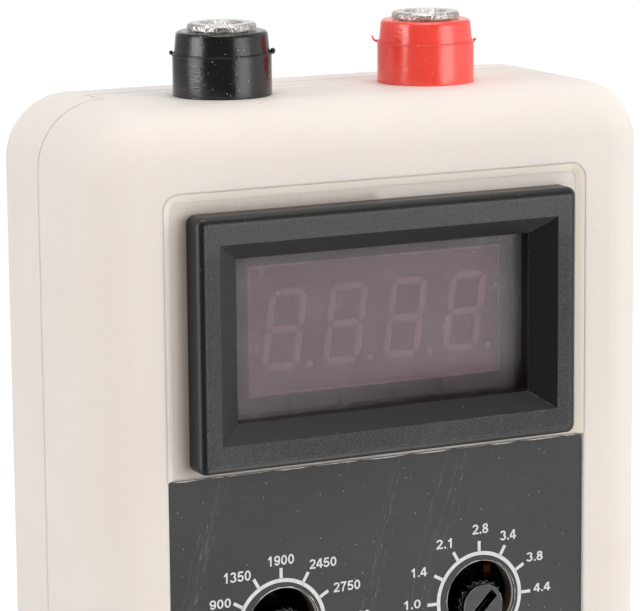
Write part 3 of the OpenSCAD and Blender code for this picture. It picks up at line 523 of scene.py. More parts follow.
def housing_plastic():
    """Warm white plastic. It lets in a little light, and the line between the halves is painted paler and
    warmer as painted light, so it is faint and warm.
    """
    material = new_finish("housing_plastic", Specular_IOR_Level=0.35, Subsurface_Weight=0.8,
                          Subsurface_Radius=(0.84, 0.92, 1.0), Subsurface_Scale=0.0008)
    tone = drift((0.86, 0.795, 0.745), (0.83, 0.755, 0.69), patches=0.03, mottling=0.25)
    colour = blend(specks(cells=0.16, size=0.03, share=0.3), tone, (0.38, 0.31, 0.25))

    (aside, above), place = inside_outline("meter_bezel")
    # Painted shadow: the sunk panel's floor left of the meter is darkened, as the meter's shadow falling
    # there.
    painted_shadow_left_of_meter = times(spread(aside, -2.4, 0.0, 0.0, 0.8), spread(place[0], 0.0, -1.0),
                          spread(above, -1.5, 0.5),
                          spread(place[1], FRONT / MM + 1.2, FRONT / MM + 1.0))
    with_painted_shadow = blend(painted_shadow_left_of_meter, colour, (0.4, 0.34, 0.29))

    from_axis, depth = use(DIAL_HOLES)
    # Painted shade: the walls of the dial holes are darkened, more so deeper in.
    round_hole = spread(from_axis, HOLE_R / MM + 0.3, HOLE_R / MM + 0.25)
    painted_shade_down_hole = times(spread(depth, 0.1, 0.9, 0.72, 0.93), spread(depth, 4.0, 3.5))
    with_painted_hole_shade = blend(times(round_hole, painted_shade_down_hole), with_painted_shadow, (0.075, 0.045, 0.03))

    # Painted light: a paler, warmer colour along the line between the halves lifts the shade in its groove.
    painted_light_seam = spread(apart(place[1], SEAM_Y), 0.12, 0.22, 1.0, 0.0)
    seamed = blend(painted_light_seam, with_painted_hole_shade, (1.0, 0.87, 0.7))
    # Painted light: the step round the sunk panel is painted paler, and its normal leans toward the front.
    step = painted_light_step(place)
    feed(Base_Color=blend(step, seamed, (1.0, 0.95, 0.88)))
    normal = lean(times(step, 0.75), edges(0.0005)[1], (-0.35, -0.93, 0.1))
    housing_texture(0.00005, normal)
    return material


def step_plastic():
    """The slope round the sunk panel: smooth, and painted brighter at the top and the right, away from the
    meter, as painted light.
    """
    material = new_finish("step_plastic", Specular_IOR_Level=0.35)
    tone = drift((0.87, 0.81, 0.755), (0.84, 0.77, 0.71), patches=0.3)
    place = place_in_mm()
    # Painted light: the top and the right of the slope are painted paler and warmer.
    right = spread(place[0], 10.0, 24.0)
    top = spread(place[2], STEP_TOP - 2.5, STEP_TOP - 1.0, 0.0, 0.8)
    open_side_painted_light = maths("MAXIMUM", right, top)
    feed(Base_Color=blend(open_side_painted_light, tone, (0.92, 0.83, 0.71)))
    normal = lean(times(open_side_painted_light, 0.8), flat_normal(), (0.2, -0.97, 0.12))
    housing_texture(0.00003, normal)
    return material


def label_film():
    """Dark grey printed film with dust, pale specks and fine scratches."""
    material = new_finish("label_film", Specular_IOR_Level=0.4)
    tone = drift((0.031, 0.0297, 0.0307), (0.04, 0.0383, 0.0393), patches=0.06)
    scratches = use(SCRATCHES, Slant=0.28, Lines_per_mm=0.45, Share=0.006)[0]
    scratched = blend(times(scratches, 0.17), tone, (0.62, 0.61, 0.6))
    dots = specks(cells=2.3, size=0.12, share=0.1)
    dotted = blend(times(dots, 0.3), scratched, (0.5, 0.49, 0.48))
    dust = specks(cells=0.9, size=0.085, share=0.9)
    dusty = blend(times(dust, 0.8), dotted, (0.62, 0.61, 0.6))
    grain = grain_of(grains=4.0, waves=0.1, wave_share=0.6)
    feed(Base_Color=dusty, Roughness=spread(grain, 0.3, 1.1, 0.42, 0.6))
    bump(grain, 0.000008)
    return material


def satin_surface(grains, smooth, marks, rounding):
    """Gloss and relief of the sockets' plastic. The button and the switch in the lower half are duller."""
    grain = grain_of(grains, waves=0.5, wave_share=1.0)
    duller = spread(place_in_mm()[2], 60.0, 58.0, 0.0, 0.3)
    feed(Roughness=plus(spread(grain, 0.4, 1.5, smooth, 0.24), duller))
    turned = use(TURN_MARKS, Lines_per_mm=7.0, Share=marks)[0]
    bump(plus(grain, turned), 0.000028, edges(rounding)[1])


def satin_black():
    material = new_finish("black_plastic", Specular_IOR_Level=0.66)
    tone = drift((0.0065, 0.0064, 0.0064), (0.01, 0.0098, 0.0098), patches=0.2, mottling=0.6)
    dust = specks(cells=2.8, size=0.15, share=0.2)
    feed(Base_Color=blend(times(dust, 0.75), tone, grey(0.42)))
    satin_surface(grains=2.4, smooth=0.15, marks=0.5, rounding=0.0001)
    return material


def satin_red():
    material = new_finish("red_plastic", Specular_IOR_Level=1.0)
    tone = drift((0.93, 0.054, 0.035), (0.99, 0.07, 0.046), patches=0.25)
    dust = specks(cells=2.8, size=0.15, share=0.3)
    feed(Base_Color=blend(times(dust, 0.5), tone, (1.0, 0.42, 0.34)))
    satin_surface(grains=2.2, smooth=0.14, marks=0.4, rounding=0.00012)
    return material


def bezel_plastic():
    """Coarse spark-eroded face; the sides and the flare of the window are smoother, and painted darker as
    painted shade. Painted light: sheen on the face's top and left, the flare lighter where it faces right,
    highlights along the rounding and at the window's foot, and glints on the grain's tips.
    """
    material = new_finish("bezel_plastic", Specular_IOR_Level=0.5)
    turned = facing()
    face = spread(turned[1], -0.99, -0.975, 1.0, 0.0)
    (aside, above), place = inside_outline("meter_bezel")

    tone = drift((0.035, 0.0353, 0.0357), (0.045, 0.0453, 0.0457), patches=0.08)
    # Painted sheen: the face is painted lighter at its top and at its left.
    upper = spread(place[2], METER_MIDDLE_Z + 8.0, METER_MIDDLE_Z + 11.0, 0.0, 0.75)
    leftward_painted_sheen = spread(place[0], -14.0, -20.0, 0.0, 0.3)
    face_with_painted_sheen = blend(maths("MAXIMUM", upper, leftward_painted_sheen), tone, (0.09, 0.09, 0.091))
    # Painted light and shade: the sides and the flare are painted darker than the face, and lighter where
    # they face right.
    flare = blend(spread(turned[0], 0.3, 0.5), (0.01, 0.01, 0.0103), (0.026, 0.0262, 0.0265))
    sides = blend(face, flare, face_with_painted_sheen)

    # Painted highlight: a broken pale line along the rounding between the sides and the face.
    from_side = maths("MINIMUM", aside, above)
    rounding_painted_highlight = spread(apart(from_side, BEZEL_ROUNDING), 0.03, 0.14, 0.3, 0.0)
    line = times(rounding_painted_highlight, spread(noise(in_millimetres(), 1.6, 3), 0.35, 0.6))
    lined = blend(line, sides, grey(0.16))

    # The edges are painted lighter as rubbed wear; at the window's foot they are painted nearly white as a
    # painted highlight.
    edge, rounded = edges(0.00016, share=0.4)
    rubbed = blend(edge, lined, grey(0.14))
    window_foot_painted_highlight = times(spread(place[2], METER_MIDDLE_Z - 8.0, METER_MIDDLE_Z - 9.0),
                        spread(place[0], -4.0, 10.0))
    rubbed = blend(times(edge, window_foot_painted_highlight), rubbed, (0.9, 0.9, 0.88))
    dust = specks(cells=2.2, size=0.13, share=0.1)
    dusty = blend(times(dust, 0.3), rubbed, grey(0.45))

    grain = grain_of(grains=4.6, waves=0.1, wave_share=0.2)
    # Painted glints: the grain's tips on the face are painted lighter.
    grain_tips_painted_glints = times(spread(grain, 0.55, 0.82, 0.0, 0.36), face)
    rough = maths("MULTIPLY_ADD", face, 0.12, spread(grain, 0.3, 0.9, 0.27, 0.35))
    feed(Base_Color=blend(grain_tips_painted_glints, dusty, grey(0.2)), Roughness=rough)

    strip = spread(aside, BEZEL_ROUNDING + 0.34, BEZEL_ROUNDING + 0.22)
    at_left = times(strip, face, spread(place[0], 0.0, -1.0))
    normal = lean(times(at_left, 0.4), rounded, (-1.0, -0.7, 0.0))
    relief = times(grain, maths("MULTIPLY_ADD", face, 0.92, 0.08))
    bump(relief, 0.0004, normal)
    return material


def filter_plastic():
    """Smoked red filter with dust on it and a paler edge."""
    material = new_finish("filter_plastic", Transmission_Weight=0.97, IOR=1.18, Metallic=0.0)
    tone = drift((0.76, 0.6, 0.65), (0.71, 0.55, 0.6), patches=0.1)
    dust = specks(cells=3.0, size=0.16, share=0.16)
    dusty = blend(times(dust, 0.8), tone, (0.95, 0.9, 0.92))
    edge = edges(0.00018, share=1.0)[0]
    grain = grain_of(grains=3.5, waves=0.2, wave_share=0.3)
    feed(Base_Color=blend(edge, dusty, (0.98, 0.9, 0.92)), Roughness=spread(grain, 0.3, 1.0, 0.04, 0.1))
    bump(grain, 0.000008)
    return material


def display_plastic():
    """Face of the digits' module, with a pale, broken line just inside its edge."""
    material = new_finish("display_plastic", Roughness=0.6)
    tone = drift((0.13, 0.09, 0.11), (0.15, 0.1, 0.12), patches=0.12, mottling=0.6)
    grain = grain_of(grains=3.0, waves=0.1, wave_share=0.3)
    (aside, above), _ = inside_outline("display_body")
    rim = maths("MINIMUM", times(aside, 1.6), above)
    line = times(spread(rim, 0.16, 0.3, 0.8, 0.0), spread(grain, 0.5, 0.75))
    lined = blend(line, tone, (0.36, 0.28, 0.3))
    edge, rounded = edges(0.0003, share=1.0)
    feed(Base_Color=blend(edge, lined, (0.3, 0.24, 0.26)))
    bump(grain, 0.00003, rounded)
    return material


def shaft_metal():
    """Grey turned tip, painted dark in the slot and down the hole as painted shade, with bright corners on
    the knurl.
    """
    material = new_finish("shaft_metal", Metallic=0.0, Specular_IOR_Level=0.5)
    tone = drift((0.036, 0.037, 0.039), (0.055, 0.055, 0.055), patches=0.6, mottling=0.6)
    depth = minus(place_in_mm()[1], SHAFT_TIP / MM)
    edge, rounded = edges(0.00012, share=1.0)
    # Painted shade: below its tip face, in the slot and down the hole, the shaft is painted nearly black.
    deep_in_painted_shade = spread(depth, 0.08, 0.3)
    dim = blend(deep_in_painted_shade, tone, grey(0.01))
    bright = times(edge, spread(depth, 1.2, 2.0, 1.0, 0.0))
    grain = grain_of(grains=5.0, waves=0.5, wave_share=0.5)
    feed(Base_Color=blend(bright, dim, (0.85, 0.85, 0.84)),
         Metallic=minus(deep_in_painted_shade, bright, clamp=True),
         Roughness=spread(grain, 0.3, 1.2, 0.45, 0.65))
    bump(grain, 0.00003, rounded)
    return material


def even_finish(name, colour, other, patches, mottling, grain, depth, **plain):
    """A colour that drifts, and a grain of a depth in m, given by its grains, waves and wave share."""
    material = new_finish(name, **plain)
    feed(Base_Color=drift(colour, other, patches, mottling))
    bump(grain_of(*grain), depth)
    return material


def segment_resin():
    return even_finish("segment_resin", (0.25, 0.18, 0.2), (0.3, 0.21, 0.23), patches=0.3, mottling=0.5,
                       grain=(2.0, 0.3, 0.5), depth=0.00003, Roughness=0.45)


def white_print():
    """The label's ink, a little thin in places."""
    return even_finish("white_print", grey(0.8), grey(0.64), patches=0.9, mottling=0.8,
                       grain=(4.0, 0.5, 0.2), depth=0.00001, Roughness=0.5, Specular_IOR_Level=0.3)


def cut_film():
    """Bare pale core of the film where it was cut."""
    return even_finish("cut_film", (0.85, 0.83, 0.8), (0.4, 0.38, 0.36), patches=0.8, mottling=0.8,
                       grain=(5.0, 1.0, 0.5), depth=0.00005, Roughness=0.6)


def window_dust():
    """Pale grains with clear filter between them, hardly any at the window's lower right, which is left dark
    as a painted reflection.
    """
    material = new_finish("window_dust", Roughness=0.8, Specular_IOR_Level=0.2)
    tone = drift((0.75, 0.72, 0.73), (0.6, 0.55, 0.57), patches=0.5, mottling=0.6)
    (to_side, to_end), place = inside_outline("meter_window")
    to_edge = maths("MINIMUM", to_side, to_end)
    grain = grain_of(grains=6.0, waves=0.3, wave_share=0.25)

    # Painted reflection: haze and lumps are left out at the window's lower right, so it stays dark, as the
    # filter's dark reflection there.
    low = spread(place[2], METER_MIDDLE_Z - 7.8, METER_MIDDLE_Z - 4.8, 1.0, 0.0)
    right = spread(place[0], -20.0, 6.0)
    outside_painted_dark_reflection = minus(1.0, times(low, right))
    haze = times(outside_painted_dark_reflection, spread(grain, 0.45, 0.8, 0.07, 0.21))

    least = maths("MULTIPLY_ADD", spread(to_edge, 0.0, 2.6, 1.0, 0.0), -0.12, 0.74)
    lumps = maths("MULTIPLY", minus(grain, least), 5.0, clamp=True)
    dots = specks(cells=1.1, size=0.09, share=0.12)
    lumps_and_dots = maths("MAXIMUM", times(lumps, 0.5), times(dots, 0.9))
    line = times(spread(to_edge, 0.1, 0.22, 0.6, 0.0), spread(grain, 0.45, 0.7))
    left_half = spread(place[0], 2.0, 12.0, 1.0, 0.15)
    thick = maths("MAXIMUM", lumps_and_dots, times(line, left_half))
    feed(Base_Color=tone, Alpha=plus(haze, times(thick, outside_painted_dark_reflection), clamp=True))
    return material


# Finishes that the inside has too

def repaint(share, colour):
    """Lays another colour over a part of the material that was begun last."""
    under = principled().inputs["Base Color"].links[0].from_socket
    feed(Base_Color=blend(share, under, colour))


def worn_metal(name, colour, other, rough, smooth, grain_depth=0.00001):
    """Plated or bare metal with fine scratches and dull patches."""
    material = new_finish(name, Metallic=1.0)
    tone = drift(colour, other, patches=0.35)
    scratches = use(SCRATCHES, Slant=0.6, Lines_per_mm=3.0, Share=0.03)[0]
    grain = grain_of(grains=2.5, waves=0.7, wave_share=1.2)
    feed(Base_Color=blend(times(scratches, 0.3), tone, other),
         Roughness=spread(grain, 0.5, 1.6, smooth, rough))
    bump(grain, grain_depth)
    return material


def zinc_steel():
    """Zinc plating, painted nearly black on the covers behind the dials' holes as painted shade."""
    material = worn_metal("steel", (0.62, 0.62, 0.63), (0.5, 0.49, 0.47), 0.45, 0.25)
    from_axis, depth = use(DIAL_HOLES)
    # Painted shade: the covers behind the dials' holes are painted nearly black.
    behind = times(spread(from_axis, 9.5, 8.5), spread(depth, 13.0, 12.5))
    repaint(behind, (0.03, 0.028, 0.027))
    return material


def moulded_part(name, colour, other, rough, grain_depth=0.00003, grains=3.0):
    """Plain moulded or coated component with its own grain and colour change."""
    material = new_finish(name)
    tone = drift(colour, other, patches=0.3)
    pale = tuple(min(1.0, c * 1.6 + 0.03) for c in colour)
    grain = grain_of(grains, waves=0.4, wave_share=0.5)
    feed(Base_Color=blend(edges(0.0002, share=0.4)[0], tone, pale),
         Roughness=spread(grain, 0.3, 1.2, rough - 0.08, rough + 0.08))
    bump(grain, grain_depth)
    return material


def orange_part():
    """Orange lacquer with a dark red border round the face that is seen through the right hole."""
    material = moulded_part("component_mixed", (0.6, 0.16, 0.045), (0.7, 0.22, 0.07), 0.35)
    place = place_in_mm()
    aside, above = (apart(place[axis], middle) for axis, middle in zip((0, 2), SMALL_PART_MIDDLE))
    border = spread(maths("MAXIMUM", aside, above), 0.38, 0.5)
    near = times(spread(aside, 1.6, 1.5), spread(above, 1.9, 1.8))
    repaint(near, blend(border, (1.0, 0.4, 0.14), (0.24, 0.035, 0.02)))
    return material


def solder_mask(name, colour, track):
    """Lacquered laminate with tracks as a lighter, raised grid. The meter's own board is painted nearly black
    as painted shade.
    """
    material = new_finish(name, Specular_IOR_Level=0.5)
    place = in_millimetres()
    upright = put("Mapping", {"Vector": place, "Rotation": (math.pi / 2, 0, 0)})[0]
    grid = {"Vector": upright, "Scale": 0.35, "Mortar Size": 0.12, "Mortar Smooth": 0.2, "Brick Width": 2.3,
            "Row Height": 0.9}
    tracks = put("TexBrick", grid)["Fac"]
    line = times(tracks, spread(noise(place, 0.22, 1), 0.45, 0.5))
    tone = drift(colour, tuple(c * 0.8 for c in colour), patches=0.1, mottling=0.3)
    # Painted shade: above the charger, inside the meter, the board is painted nearly black.
    meter_board_painted_shade = spread(put("SeparateXYZ", {0: place})[2], 95.0, 96.0)
    feed(Base_Color=blend(meter_board_painted_shade, blend(line, tone, track), grey(0.012)),
         Roughness=spread(line, 0.0, 1.0, 0.3, 0.22))
    bump(line, 0.00004)
    return material


FINISHES = {
    "housing_plastic": housing_plastic(),
    "label_film": label_film(),
    "black_plastic": satin_black(),
    "bezel_plastic": bezel_plastic(),
    "filter_plastic": filter_plastic(),
    "display_plastic": display_plastic(),
    "segment_resin": segment_resin(),
    "red_plastic": satin_red(),
    "nickel": worn_metal("nickel", (0.84, 0.81, 0.77), (0.55, 0.51, 0.47), 0.24, 0.08, 0.00022),
    "steel": zinc_steel(),
    "shaft_metal": shaft_metal(),
    "board_laminate": solder_mask("board_laminate", (0.03, 0.16, 0.06), (0.06, 0.28, 0.1)),
    "charger_laminate": solder_mask("charger_laminate", (0.03, 0.1, 0.3), (0.06, 0.2, 0.45)),
    "component_black": moulded_part("component_black", (0.025, 0.025, 0.027), (0.04, 0.04, 0.042), 0.5),
    "component_mixed": orange_part(),
    "disc_blue": moulded_part("disc_blue", (0.04, 0.12, 0.4), (0.05, 0.16, 0.48), 0.25, 0.00008, 0.8),
    "phenolic": moulded_part("phenolic", (0.2, 0.09, 0.03), (0.26, 0.12, 0.045), 0.5),
    "ferrite": moulded_part("ferrite", (0.04, 0.04, 0.045), (0.06, 0.06, 0.06), 0.55),
    "bobbin_plastic": moulded_part("bobbin_plastic", (0.68, 0.64, 0.53), (0.62, 0.57, 0.45), 0.45),
    "winding_tape": moulded_part("winding_tape", (0.75, 0.45, 0.05), (0.68, 0.38, 0.04), 0.25),
    "cell_foil": worn_metal("cell_foil", (0.62, 0.64, 0.67), (0.5, 0.52, 0.55), 0.42, 0.28, 0.00006),
    "foam_tape": moulded_part("foam_tape", (0.8, 0.8, 0.76), (0.72, 0.72, 0.68), 0.85, 0.00012, 1.6),
}
PRINT = white_print()
CUT_FILM = cut_film()
STEP_PLASTIC = step_plastic()
WINDOW_DUST = window_dust()


def dress_cad_nodes():
    for row in frame["record"]["subparts"]:
        for place in frame["nodes"][row["node"]].material_slots:
            place.material = FINISHES[row["material_slot"]]


# The dials' print

# Number, its left and right edge and its top and bottom, as measured from the meter's middle in mm
DIAL_NUMBERS = {
    "left": [("900", -21.98, -19.35, -29.39, -30.5), ("1350", -20.2, -16.84, -26.46, -27.68),
             ("1900", -14.7, -11.41, -25.21, -26.39), ("2450", -9.46, -6.05, -26.18, -27.32),
             ("2750", -6.43, -3.03, -29.28, -30.43), ("3000", -5.2, -1.8, -33.0, -34.15)],
    "right": [("1.0", 2.6, 4.8, -32.66, -33.74), ("1.4", 3.56, 5.65, -28.92, -30.0),
              ("2.1", 6.87, 8.92, -25.9, -27.04), ("2.8", 11.65, 13.74, -24.66, -25.84),
              ("3.4", 15.31, 17.47, -25.82, -27.0), ("3.8", 18.86, 21.07, -28.86, -30.0),
              ("4.4", 19.84, 22.12, -32.75, -33.8)],
}
PRINT_RISE, PRINT_SINK = 0.015 * MM, 0.002 * MM

# The printed ring's radii, the ends and half width of its marks, and the marks' angles in degrees
RING_INNER, RING_OUTER = 5.17 * MM, 5.62 * MM
RING_STEPS = 128
MARK_ENDS, MARK_HALF_WIDTH = (5.55 * MM, 6.85 * MM), 0.19 * MM
MARK_ANGLES = range(-60, 241, 30)


def add_dial_scale(side):
    """Printed ring with eleven marks over 300 degrees."""
    shape = bmesh.new()
    x, z = HOLES[side][0] + PRINT_SHIFT_X, HOLES[side][1]
    planes = (LABEL_FACE - PRINT_SINK, LABEL_FACE - PRINT_RISE)
    raise_ring(shape, (x, z), [RING_INNER] * RING_STEPS, [RING_OUTER] * RING_STEPS, *planes)
    for angle in MARK_ANGLES:
        a = math.radians(angle)
        out = Vector((math.cos(a), math.sin(a)))
        aside = Vector((-math.sin(a), math.cos(a))) * MARK_HALF_WIDTH
        near, far = (Vector((x, z)) + out * end for end in MARK_ENDS)
        raise_outline(shape, [near - aside, far - aside, far + aside, near + aside], *planes)
    add_piece(f"{side}_dial_scale", shape, PRINT)


def bow(x, z, across, up, start, end):
    """Points on part of an oval, from one angle to another."""
    steps = max(6, int(abs(end - start) / 12))
    angles = [math.radians(start + (end - start) * i / steps) for i in range(steps + 1)]
    return [(x + across * math.cos(a), z + up * math.sin(a)) for a in angles]


# Middle lines of the figures, for a figure 1 high and 0.66 wide, and the half width of their strokes
STROKE = 0.084
FIGURES = {
    "0": [bow(0.33, 0.5, 0.235, 0.407, 90, 450)],
    "1": [[(0.4, 0.0), (0.4, 1.0)], [(0.12, 0.7), (0.24, 0.76), (0.34, 0.87), (0.37, 0.95)]],
    "2": [bow(0.33, 0.69, 0.235, 0.217, 170, -25) + [(0.42, 0.42), (0.2, 0.2), (0.1, 0.02)],
          [(0.03, 0.09), (0.65, 0.09)]],
    "3": [bow(0.31, 0.722, 0.215, 0.185, 165, -75), bow(0.31, 0.302, 0.25, 0.21, 78, -165)],
    "4": [[(0.4, 0.93), (0.06, 0.34)], [(0.0, 0.285), (0.68, 0.285)], [(0.46, 0.0), (0.46, 1.0)]],
    "5": [[(0.13, 0.905), (0.6, 0.905)], [(0.17, 0.94), (0.11, 0.44)],
          bow(0.32, 0.33, 0.242, 0.237, 148, -165)],
    "7": [[(0.03, 0.905), (0.63, 0.905)], [(0.58, 0.9), (0.42, 0.66), (0.3, 0.35), (0.25, 0.0)]],
    "8": [bow(0.33, 0.73, 0.195, 0.177, 90, 450), bow(0.33, 0.29, 0.235, 0.197, 90, 450)],
    "9": [bow(0.33, 0.665, 0.235, 0.242, 90, 450), bow(0.325, 0.46, 0.242, 0.367, 12, -150)],
    ".": [[(0.13, 0.0), (0.13, 0.2)]],
}
FIGURE_STEP, POINT_STEP = 0.74, 0.3


def draw_stroke(shape, line, pen, rise):
    """A line of even width through the points, as a flat strip at a height of its own."""
    borders = []
    for i, point in enumerate(line):
        before, after = Vector(line[max(i - 1, 0)]), Vector(line[min(i + 1, len(line) - 1)])
        if line[0] == line[-1] and i in (0, len(line) - 1):
            before, after = Vector(line[-2]), Vector(line[1])
        ahead = (after - before).normalized()
        aside = Vector((-ahead.y, ahead.x)) * STROKE
        borders.append([shape.verts.new((*(Vector(point) + s * aside), rise)) for s in (1, -1)])
        for vertex in borders[-1]:
            vertex.co.x += pen
    for (a, b), (c, d) in zip(borders, borders[1:]):
        shape.faces.new((a, b, d, c))


def add_dial_numbers(side):
    """The scale's numbers, each drawn from its strokes and fitted into its printed box."""
    shape = bmesh.new()
    for text, left, right, top, bottom in DIAL_NUMBERS[side]:
        number = bmesh.new()
        pen = 0.0
        for sign in text:
            for layer, line in enumerate(FIGURES[sign]):
                draw_stroke(number, line, pen, PRINT_RISE + layer * PRINT_RISE / 3)
            pen += POINT_STEP if sign == "." else FIGURE_STEP
        low, high = min(v.co.x for v in number.verts), max(v.co.x for v in number.verts)
        for vertex in number.verts:
            x = left + (vertex.co.x - low) / (high - low) * (right - left)
            z = METER_MIDDLE_Z + bottom + vertex.co.y * (top - bottom)
            vertex.co = (x * MM, LABEL_FACE - vertex.co.z, z * MM)
        flat = mesh_of(f"number_{text}", number)
        shape.from_mesh(flat)
        bpy.data.meshes.remove(flat)
    add_piece(f"{side}_dial_numbers", shape, PRINT)


# Trim of the label and the sunk panel

# The film's cut edges: how far behind its face they start, their least width and how much it changes, in mm
CUT_BACK = 0.05
CUT_LEAST, CUT_CHANGE = 0.015, 0.03
HOLE_EDGE_GAP, HOLE_EDGE_RISE, HOLE_EDGE_MOST = 0.1, 0.012, 0.12
HOLE_EDGE_STEPS = 180
LABEL_EDGE_RISE, LABEL_EDGE_MOST = 0.02, 0.11
LABEL_EDGE_INSET, LABEL_EDGE_STEP = 0.6, 0.18
STRIP_LENGTHS, STRIP_GAPS = (1.0, 6.0), (0.05, 0.8)

# How far the slope round the sunk panel lies outside the label, and inset and depth of its lines, in mm
SLOPE_OUTSIDE = 0.1
SLOPE_LINES = ((0.0, 0.02), (0.3, 0.17), (0.6, 0.4), (0.9, 0.59))


def add_hole_edge(side, luck):
    """Thin pale line where the cutter went through the film round a dial's hole, wider here and there."""
    inner = HOLE_R + HOLE_EDGE_GAP * MM
    outer, width = [], 0.06
    for _ in range(HOLE_EDGE_STEPS):
        width = wander(width, CUT_CHANGE, CUT_LEAST, HOLE_EDGE_MOST, luck)
        outer.append(inner + width * MM)
    shape = bmesh.new()
    raise_ring(shape, HOLES[side], [inner] * HOLE_EDGE_STEPS, outer,
               LABEL_FACE + CUT_BACK * MM, LABEL_FACE - HOLE_EDGE_RISE * MM)
    add_piece(f"{side}_hole_edge", shape, CUT_FILM)


def add_label_edge(luck):
    """Ragged pale line along the label's upper edge, in strips with gaps between them."""
    shape = bmesh.new()
    x, last = LABEL_LOW.x + LABEL_EDGE_INSET * MM, LABEL_HIGH.x - LABEL_EDGE_INSET * MM
    top = LABEL_HIGH.z
    while x < last:
        end = min(last, x + luck.uniform(*STRIP_LENGTHS) * MM)
        steps = max(3, int((end - x) / (LABEL_EDGE_STEP * MM)))
        lower, depth = [], 0.05
        for i in range(steps + 1):
            depth = wander(depth, CUT_CHANGE, CUT_LEAST, LABEL_EDGE_MOST, luck)
            taper = min(1.0, 4 * i / steps, 4 * (steps - i) / steps)
            lower.append((x + (end - x) * i / steps, top - (0.02 + depth * taper) * MM))
        upper = [(place, top - 0.005 * MM) for place, _ in lower]
        for i in range(steps):
            corners = [lower[i], lower[i + 1], upper[i + 1], upper[i]]
            raise_outline(shape, corners, LABEL_FACE + CUT_BACK * MM, LABEL_FACE - LABEL_EDGE_RISE * MM)
        x = end + luck.uniform(*STRIP_GAPS) * MM
    bmesh.ops.remove_doubles(shape, verts=shape.verts, dist=1e-8)
    add_piece("label_edge", shape, CUT_FILM)


def add_step_slope():
    """Soft slope from the front down to the sunk floor, round the meter as far as the label."""
    left, right = LABEL_LOW.x / MM - SLOPE_OUTSIDE, LABEL_HIGH.x / MM + SLOPE_OUTSIDE
    foot = LABEL_HIGH.z / MM + SLOPE_OUTSIDE
    shape = bmesh.new()
    loops = []
    for inset, depth in SLOPE_LINES:
        reach = STEP_CORNER - inset
        line = [(right - inset, foot)]
        for middle, start in ((right - STEP_CORNER, 0), (left + STEP_CORNER, 90)):
            for angle in range(start, start + 91, 10):
                a = math.radians(angle)
                line.append((middle + reach * math.cos(a), STEP_TOP - STEP_CORNER + reach * math.sin(a)))
        line.append((left + inset, foot))
        loops.append([shape.verts.new((x * MM, FRONT + depth * MM, z * MM)) for x, z in line])
    join_loops(shape, loops, round_again=False)
    bmesh.ops.recalc_face_normals(shape, faces=shape.faces)
    add_piece("step_slope", shape, STEP_PLASTIC, smooth=True)


# Trim of the sockets

# Height of the line between a socket's bands above the housing, and the bands' radius
SOCKET_BAND = 4.75 * MM
SOCKET_R = 5.65 * MM

# Reach and height in mm of the fin's lines round a socket; the line without a reach is the fin's uneven edge
FLASH_LINES = ((-0.15, -0.09), (0.0, -0.05), (None, 0.0), (0.0, 0.05), (-0.15, 0.09))
FLASH_STEPS = 240

# Lumps at the gates: side, height of the middle, half width and half height, in mm
GATE_LUMPS = {"black": ((1, 0.16, 0.32, 0.36), (-1, 0.05, 0.24, 0.26)), "red": ((1, 0.08, 0.17, 0.17),)}
GATE_OUT = 0.1

# The curled thread at the red socket's left gate: how far in and up it goes, and its radius, in mm
CURL = ((0.25, 0.0, 0.13), (-0.02, 0.0, 0.13), (-0.22, 0.08, 0.12), (-0.36, 0.26, 0.1), (-0.42, 0.5, 0.09),
        (-0.56, 0.62, 0.05))


def add_flash(tint, luck):
    """Thin uneven fin where the mould halves met, on the line between a socket's bands."""
    middle, z = SOCKETS[tint], SHELL_TOP + SOCKET_BAND
    reach, rise = [], []
    out, up = 0.03, 0.0
    for _ in range(FLASH_STEPS):
        out = wander(out, 0.02, -0.03, 0.07, luck)
        up = wander(up, 0.01, -0.05, 0.05, luck)
        reach.append(out)
        rise.append(up)
    shape = bmesh.new()
    loops = []
    for line, height in FLASH_LINES:
        loop = []
        for i in range(FLASH_STEPS):
            x, y = on_circle(SOCKET_R + (reach[i] if line is None else line) * MM, i, FLASH_STEPS)
            loop.append(shape.verts.new((middle.x + x, middle.y + y, z + (height + rise[i]) * MM)))
        loops.append(loop)
    join_loops(shape, loops, last_to_first=True)
    add_piece(f"{tint}_flash", shape, FINISHES[f"{tint}_plastic"], smooth=True)


def add_gate_marks(tint):
    """Left-over plastic at the two gates, on the line between a socket's bands."""
    yaw = math.radians(CAMERA_YAW)
    along = Vector((math.cos(yaw), -math.sin(yaw), 0))
    centre = Vector((SOCKETS[tint].x, SOCKETS[tint].y, SHELL_TOP + SOCKET_BAND))
    gate = along * (SOCKET_R + GATE_OUT * MM)
    shape = bmesh.new()
    for side, height, half_width, half_height in GATE_LUMPS[tint]:
        middle = centre + gate * side + Vector((0, 0, height * MM))
        lump(shape, middle, Vector((half_width, half_width, half_height)) * MM)
    if tint == "red":
        points = [centre - gate + along * inward * MM + Vector((0, 0, up * MM)) for inward, up, _ in CURL]
        tube(shape, points, [r * MM for _, _, r in CURL])
    add_piece(f"{tint}_gate_marks", shape, FINISHES[f"{tint}_plastic"], smooth=True)


# The button and the switch

# The button's return spring: radius of the coil and of the wire, its turns and the steps in each turn, in mm
SPRING_R, WIRE_R = 2.4, 0.25
SPRING_TURNS, STEPS_IN_TURN = 5, 24

# The rocker's pivot in mm, its lean at rest in degrees and the pivot's distance behind the crest
ROCKER_PIVOT = (12.8, -13.35, 45)
ROCKER_LEAN = 9
ROCKER_CREST = 3.2

# The line's half width and ends, the ring's middle and radii, and their height above the rocker's face, in mm
LINE_HALF_WIDTH, LINE_ENDS = 0.16, (1.8, 3.7)
SWITCH_RING_MIDDLE, SWITCH_RING_RADII = 2.75, (0.72, 1.0)
SWITCH_RING_STEPS = 32
FILLING_RISE = 0.02


